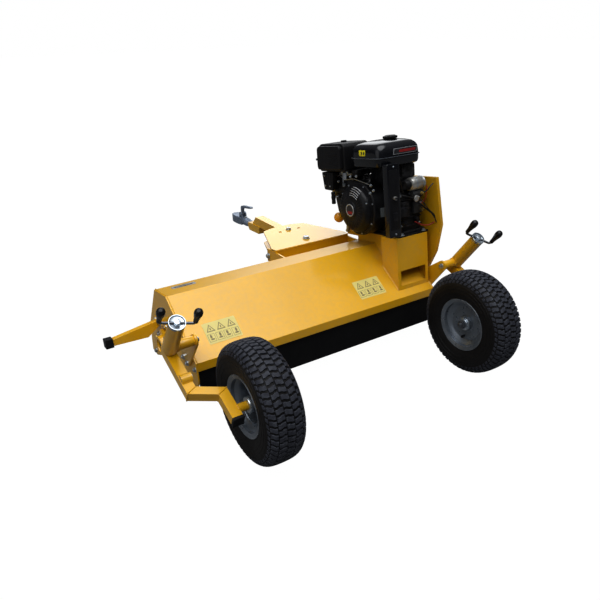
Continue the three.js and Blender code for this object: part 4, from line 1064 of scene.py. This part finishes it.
def linkages():
    """Throttle wires, springs and small brackets between the cowl and the air cleaner."""
    piece = Piece("throttle_linkage")
    piece.box(372, 384, 96, 176, 796, 800, ZINC, 0.8)
    piece.box(370, 376, 118, 146, 768, 802, ZINC, 0.8)
    piece.hose([(376, 176, 786), (371, 130, 770), (372, 60, 776), (378, -20, 760), (384, -64, 750)], 1.6,
               ZINC, 8)
    piece.hose([(378, 200, 780), (374, 168, 792), (376, 126, 790), (378, 80, 798)], 1.6, ALUMINIUM, 8)
    coil = [(374 + 4 * math.cos(1.9 * k), 160 - 1.5 * k, 782 + 4 * math.sin(1.9 * k)) for k in range(24)]
    piece.hose(coil, 0.9, ZINC, 6, 2)
    piece.rod((366, 222, 700), (384, 222, 700), 9, BRASS, 24)
    piece.rod((362, 222, 684), (384, 222, 684), 6.5, BRASS, 20)
    for y, z in ((110, 808), (150, 806), (86, 786), (188, 758), (-66, 752), (-84, 730), (-58, 716),
                 (40, 790)):
        piece.bolt((373, y, z), LEFT, 9, 4)
    piece.finish("chassis")


def throttle():
    piece = Piece("throttle_arm")
    piece.rod((372.4, 150, 742), (383.4, 150, 742), 9, ZINC, 28)
    piece.slab(rounded([(146, 738), (154, 738), (153.4, 789), (146.6, 789)], 3, 3), "x", 372.4, 375.4, ZINC,
               0.6)
    piece.finish("throttle_lever", ["throttle_lever"], "zinc")


def muffler():
    piece = Piece("muffler_can")
    piece.slab(round_rect(513, 631, 178, 294, 26, 5), "z", 771, 867, BLACK_CAST, 10, segments=4)
    for i in range(7):
        x = 528 + i * 13.5
        piece.box(x, x + 5, 290, 296.0, 790, 848, BLACK_CAST, 1.2)
    piece.lathe([(0, 0), (0, 14), (40, 14.6), (49, 14.6), (49, 11.5), (30, 11), (30, 0)],
                aim((600, 290, 800), (0.2, 0.9, -0.4)), BLACK_CAST, 32)
    piece.finish("chassis", ["muffler"], "cast")


def starter():
    piece = Piece("starter_motor_can")
    piece.lathe([(0, 0), (0, 26), (3, 30), (8, 31), (66, 31), (68, 29.6), (70, 31), (79, 31), (82, 28),
                 (83.6, 12),
                 (83.6, 0)], aim((530, -146, 738), RIGHT), ALUMINIUM, 64)
    piece.lathe([(0, 0), (0, 19), (4, 22), (28, 22), (30, 26), (32, 0)], aim((502, -146, 738), RIGHT),
                BLACK_CAST, 40)
    piece.lathe([(0, 0), (0, 12), (3, 15), (60, 15.6), (66, 14), (70, 8), (70, 0)],
                aim((541, -150, 692), RIGHT),
                CAST_IRON, 40)
    for x in (556, 596):
        piece.lathe([(0, 27), (0, 32), (5, 32), (5, 27), (0, 27)], aim((x, -146, 738), RIGHT), ZINC, 48)
    piece.box(556, 600, -158, -134, 674, 712, BLACK_CAST, 3)
    piece.lathe([(0, 0), (0, 13), (3, 15), (8, 15), (10, 12), (10, 0)], aim((553, -164, 672), BACK),
                ALUMINIUM, 36)
    piece.bolt((590, -166, 692), BACK, 10, 8, BRASS)
    piece.bolt((572, -158, 676), BACK, 10, 6)
    piece.finish("chassis", ["starter_motor"], "zinc")


def control_box():
    piece = Piece("control_panel")
    low, high = PANEL_X - 35, PANEL_X + 35
    piece.slab(round_rect(low, high, 521, 851, 8, 4), "y", PANEL_FACE, -165, BLACK_GLOSS,
               4, segments=3)
    piece.slab(round_rect(low + 8, high - 8, 556, 826, 6, 3), "y", PANEL_FACE - 1.4,
               PANEL_FACE + 6, BLACK_PLASTIC, 1.4)
    for z in (536, 838):
        piece.screw((PANEL_X, PANEL_FACE, z), BACK, 9, 4)
    piece.lathe([(0, 10.5), (0, 17), (3, 16), (4, 10.5), (0, 10.5)],
                aim((PANEL_X, PANEL_FACE + 3, 700), BACK),
                ALUMINIUM, 40)
    piece.box(PANEL_X - 13, PANEL_X + 13, PANEL_FACE - 5, PANEL_FACE + 4, 596, 634, BLACK_SATIN, 2)
    piece.finish("chassis", ["control_box"], "black_plastic")


def small_controls():
    key = Piece("starter_key")
    key.rod((PANEL_X, PANEL_FACE - 0.7, 700), (PANEL_X, PANEL_FACE - 12, 700), 9, ALUMINIUM, 32)
    bow = round_rect(PANEL_X - 10, PANEL_X + 10, PANEL_FACE - 25, PANEL_FACE - 10.5, 6, 4)
    key.slab(bow, "z", 697, 703, BLACK_PLASTIC, 1.4)
    key.finish("ignition_key", ["ignition_key"], "black_plastic")
    stick = Piece("dipstick_plug")
    stick.rod((500, -129.5, 560), (500, -151, 560), 12.6, BLACK_PLASTIC, 32)
    stick.slab(round_rect(488, 512, 556, 564, 3, 3), "y", -159.6, -149, BLACK_PLASTIC, 1.0)
    stick.finish("oil_dipstick", ["oil_dipstick"], "black_plastic")


def cables():
    """Battery and solenoid leads that run to the belt guard."""
    piece = Piece("engine_leads")
    leads = [
        (4.2, BLACK_WIRE, 10, [(530, -160, 690), (560, -170, 655), (596, -176, 624), (646, -182, 582),
                               (656, -190, 545), (656, -194, 520)]),
        (3.0, BLACK_WIRE, 8, [(590, -172, 692), (606, -182, 700), (622, -188, 716), (640, -190, 730)]),
        (2.4, BLACK_WIRE, 8, [(572, -164, 676), (590, -186, 640), (618, -192, 600), (638, -198, 570),
                              (646, -200, 546)]),
        (3.0, RED_WIRE, 10, [(556, -150, 560), (590, -166, 540), (622, -176, 536), (644, -190, 548)]),
        (2.6, BLACK_WIRE, 8, [(470, -150, 700), (500, -164, 690), (540, -168, 676), (562, -168, 672)]),
        (2.6, RED_WIRE, 8, [(600, -152, 640), (616, -162, 662), (622, -164, 690), (630, -158, 720)]),
        (3.0, BLACK_WIRE, 8, [(455, -150, 800), (480, -140, 770), (500, -134, 730), (508, -132, 700)]),
        (4.0, BLACK_WIRE, 8, [(470, -134, 560), (466, -150, 600), (462, -152, 650), (466, -146, 700)]),
    ]
    for radius, material, steps, points in leads[:2]:
        piece.hose(points, radius, material, steps)
    piece.rod((595, -150, 613), (595, -166, 613), 7, BRASS, 20)
    for radius, material, steps, points in leads[2:]:
        piece.hose(points, radius, material, steps)
    piece.finish("chassis")


# ---------------------------------------------------------------- belt drive
def guard_details():
    piece = Piece("guard_fasteners")
    for y, z in ((-188, 735), (-208, 560), (-168, 412)):
        piece.bolt((667, y, z), RIGHT, 11, 5)
    for y, z in ((-118, 710), (-132, 530), (-60, 300), (66, 142), (234, 142), (286, 240), (286, 480),
                 (176, 722)):
        piece.bolt((728, y, z), RIGHT, 13, 6)
    for i in range(9):
        z = 470 + i * 18
        piece.box(727.4, 729.8, 10, 150, z, z + 6, PAINT, 1.0)
    piece.finish("chassis")


def belt_lever():
    piece = Piece("belt_tension_lever")
    piece.rod((453, 262, 486), (664, 262, 486), 8, ZINC, 32)
    path = [(460, 262, 486), (460, 258, 510), (460, 253, 538), (459, 249.5, 558), (452, 248, 566.6),
            (440, 248, 567),
            (420, 248, 567), (396, 248, 567)]
    piece.hose(path, 7, ZINC, 24, 6)
    piece.slab(rounded([(275, 482), (260, 499), (204, 410), (223, 388)], 6, 3), "x", 658, 664, ZINC, 1.2)
    piece.rod((660, 217, 402), (704, 217, 402), 6, ZINC, 24)
    piece.finish("belt_lever", ["belt_lever"], "zinc")
    ball = Piece("tension_ball_knob")
    profile = [(-along, radius) for along, radius in (polar((0, 0), 26, a) for a in range(0, 181, 6))]
    profile[0], profile[-1] = (-26, 0), (26, 0)
    matrix = aim((402, 248, 567), LEFT)
    ball.lathe(profile, matrix, KNOB, 56)
    ball.lathe([(-29, 7.4), (-29, 12), (-21, 15), (-21, 7.4), (-29, 7.4)], matrix, KNOB, 40)
    ball.finish("belt_lever", ["belt_lever_knob"], "knob")


def guide_details():
    """Bolts of the side guide's foot and two short weld beads."""
    piece = Piece("guide_fasteners")
    x = -(END_FACE + 7)
    for y in (228, 174, 134, 94):
        piece.bolt((x, y, 300), LEFT, 15, 7)
    weld_line(piece, (x, 185, 290), (x, 185, 306), 2.4)
    weld_line(piece, (x, 217, 290), (x, 217, 306), 2.4)
    piece.finish("chassis")


for build in (rating_plate, deck_fasteners, weld_beads):
    build()
for side_name, side_sign in SIDES.items():
    for build in (bearing_housing, tyre, rim, axle_nut, jack_tube, jack_crank, crank_grips, arm_details):
        build(side_name, side_sign)
hitch_details()
hitch_bolt("swing_pivot_bolt", "drawbar_pivot_bolt", "chassis", 402, 10, 30, 328)
hitch_bolt("swing_lock_bolt", "drawbar_lock_bolt", "drawbar_lock_bolt", 579, 8, 24, 415)
for build in (drawbar_details, coupler, latch, engine_block, valve_cover, fan_housing, recoil_cover,
              recoil_grip,
              fuel_tank, fuel_cap, air_cleaner, air_duct, carburettor, linkages, throttle, muffler, starter,
              control_box, small_controls, cables, guard_details, belt_lever, guide_details):
    build()


# ---------------------------------------------------------------- stage, light and camera
def floor():
    """A pale floor that the lens sees almost evenly lit, with a faint shadow under the machine."""
    mesh = bpy.data.meshes.new("studio_floor")
    half, level = 40, -0.004
    mesh.from_pydata([(x, y, level) for x, y in rect(-half, half, -half, half)], [], [(0, 1, 2, 3)])
    made, tree, shader = node_tree("pale_floor")
    base = ramp(tree, noise_node(tree, 1.5), [(0.3, (0.17, 0.17, 0.17)), (0.7, (0.19, 0.19, 0.19))])
    tree.links.new(base, shader.inputs["Base Color"])
    shader.inputs["Roughness"].default_value = 0.9
    shader.inputs["Specular IOR Level"].default_value = 0.0
    glow = tree.nodes.new("ShaderNodeEmission")
    glow.inputs["Strength"].default_value = 1.07
    soft = tree.nodes.new("ShaderNodeMixShader")
    path = tree.nodes.new("ShaderNodeLightPath")
    share = calculate(tree, "MULTIPLY", path.outputs["Is Camera Ray"], 0.93)
    tree.links.new(share, soft.inputs[0])
    tree.links.new(shader.outputs[0], soft.inputs[1])
    tree.links.new(glow.outputs[0], soft.inputs[2])
    tree.links.new(soft.outputs[0], tree.nodes["Material Output"].inputs["Surface"])
    mesh.materials.append(made)
    floor_object = bpy.data.objects.new("studio_floor", mesh)
    bpy.context.scene.collection.objects.link(floor_object)


def lobe(tree, direction, low, high, start, stop):
    """A strength that goes from start to stop as the ray turns towards a direction.

    Low and high are the cosines of the angle between them where the change begins and ends."""
    coords = tree.nodes.new("ShaderNodeTexCoord")
    dot = tree.nodes.new("ShaderNodeVectorMath")
    dot.operation = "DOT_PRODUCT"
    dot.inputs[1].default_value = Vector(direction).normalized()
    tree.links.new(coords.outputs["Generated"], dot.inputs[0])
    node = map_range(tree, dot.outputs["Value"], from_min=low, from_max=high, to_min=start, to_max=stop)
    node.interpolation_type = "SMOOTHSTEP"
    return node.outputs["Result"]


def world_light():
    """Soft studio light: one broad overhead panel, a paler one ahead of the machine and dim sides."""
    world = bpy.data.worlds.new("soft_studio")
    world.use_nodes = True
    tree = world.node_tree
    background = tree.nodes["Background"]
    strength = lobe(tree, UP, 0.05, 0.75, 0.05, 0.26)
    for direction, low, high, bright in (((-0.1, -0.2, 0.97), 0.74, 0.92, 3.3),
                                         ((0.50, 0.78, 0.42), 0.93, 0.99, 2.2),
                                         ((-1.0, -0.05, 0.25), 0.80, 0.98, 0.7)):
        strength = calculate(tree, "ADD", strength, lobe(tree, direction, low, high, 0.0, bright))
    background.inputs["Color"].default_value = (0.96, 0.98, 1.0, 1)
    tree.links.new(strength, background.inputs["Strength"])
    backdrop = tree.nodes.new("ShaderNodeBackground")
    backdrop.inputs["Color"].default_value = (1, 1, 1, 1)
    chosen = tree.nodes.new("ShaderNodeMixShader")
    path = tree.nodes.new("ShaderNodeLightPath")
    tree.links.new(path.outputs["Is Camera Ray"], chosen.inputs[0])
    tree.links.new(background.outputs[0], chosen.inputs[1])
    tree.links.new(backdrop.outputs[0], chosen.inputs[2])
    tree.links.new(chosen.outputs[0], tree.nodes["World Output"].inputs["Surface"])
    bpy.context.scene.world = world


CAMERA_ANGLES = (-31.9, 25.3, -1.4)  # azimuth, elevation and roll
CAMERA_PLACE = Vector((-1.3076, -2.0198, 1.4277))
CAMERA_LENS = 34.866


def camera():
    """The camera looks down on the machine from behind its left side."""
    azimuth, elevation, roll = (math.radians(a) for a in CAMERA_ANGLES)
    back = Vector((math.sin(azimuth) * math.cos(elevation), -math.cos(azimuth) * math.cos(elevation),
                   math.sin(elevation)))
    right = Vector((0, 0, 1)).cross(back).normalized()
    up = back.cross(right)
    x_axis = right * math.cos(roll) + up * math.sin(roll)
    y_axis = up * math.cos(roll) - right * math.sin(roll)
    data = bpy.data.cameras.new("camera")
    data.lens = CAMERA_LENS
    data.sensor_width = 36
    made = bpy.data.objects.new("camera", data)
    turn = Matrix((x_axis, y_axis, back)).transposed().to_4x4()
    made.matrix_world = Matrix.Translation(SHIFT * MM + CAMERA_PLACE) @ turn
    bpy.context.scene.collection.objects.link(made)
    bpy.context.scene.camera = made


floor()
world_light()
camera()
bpy.context.scene.view_settings.view_transform = "Standard"
bpy.context.scene.view_settings.gamma = 0.8
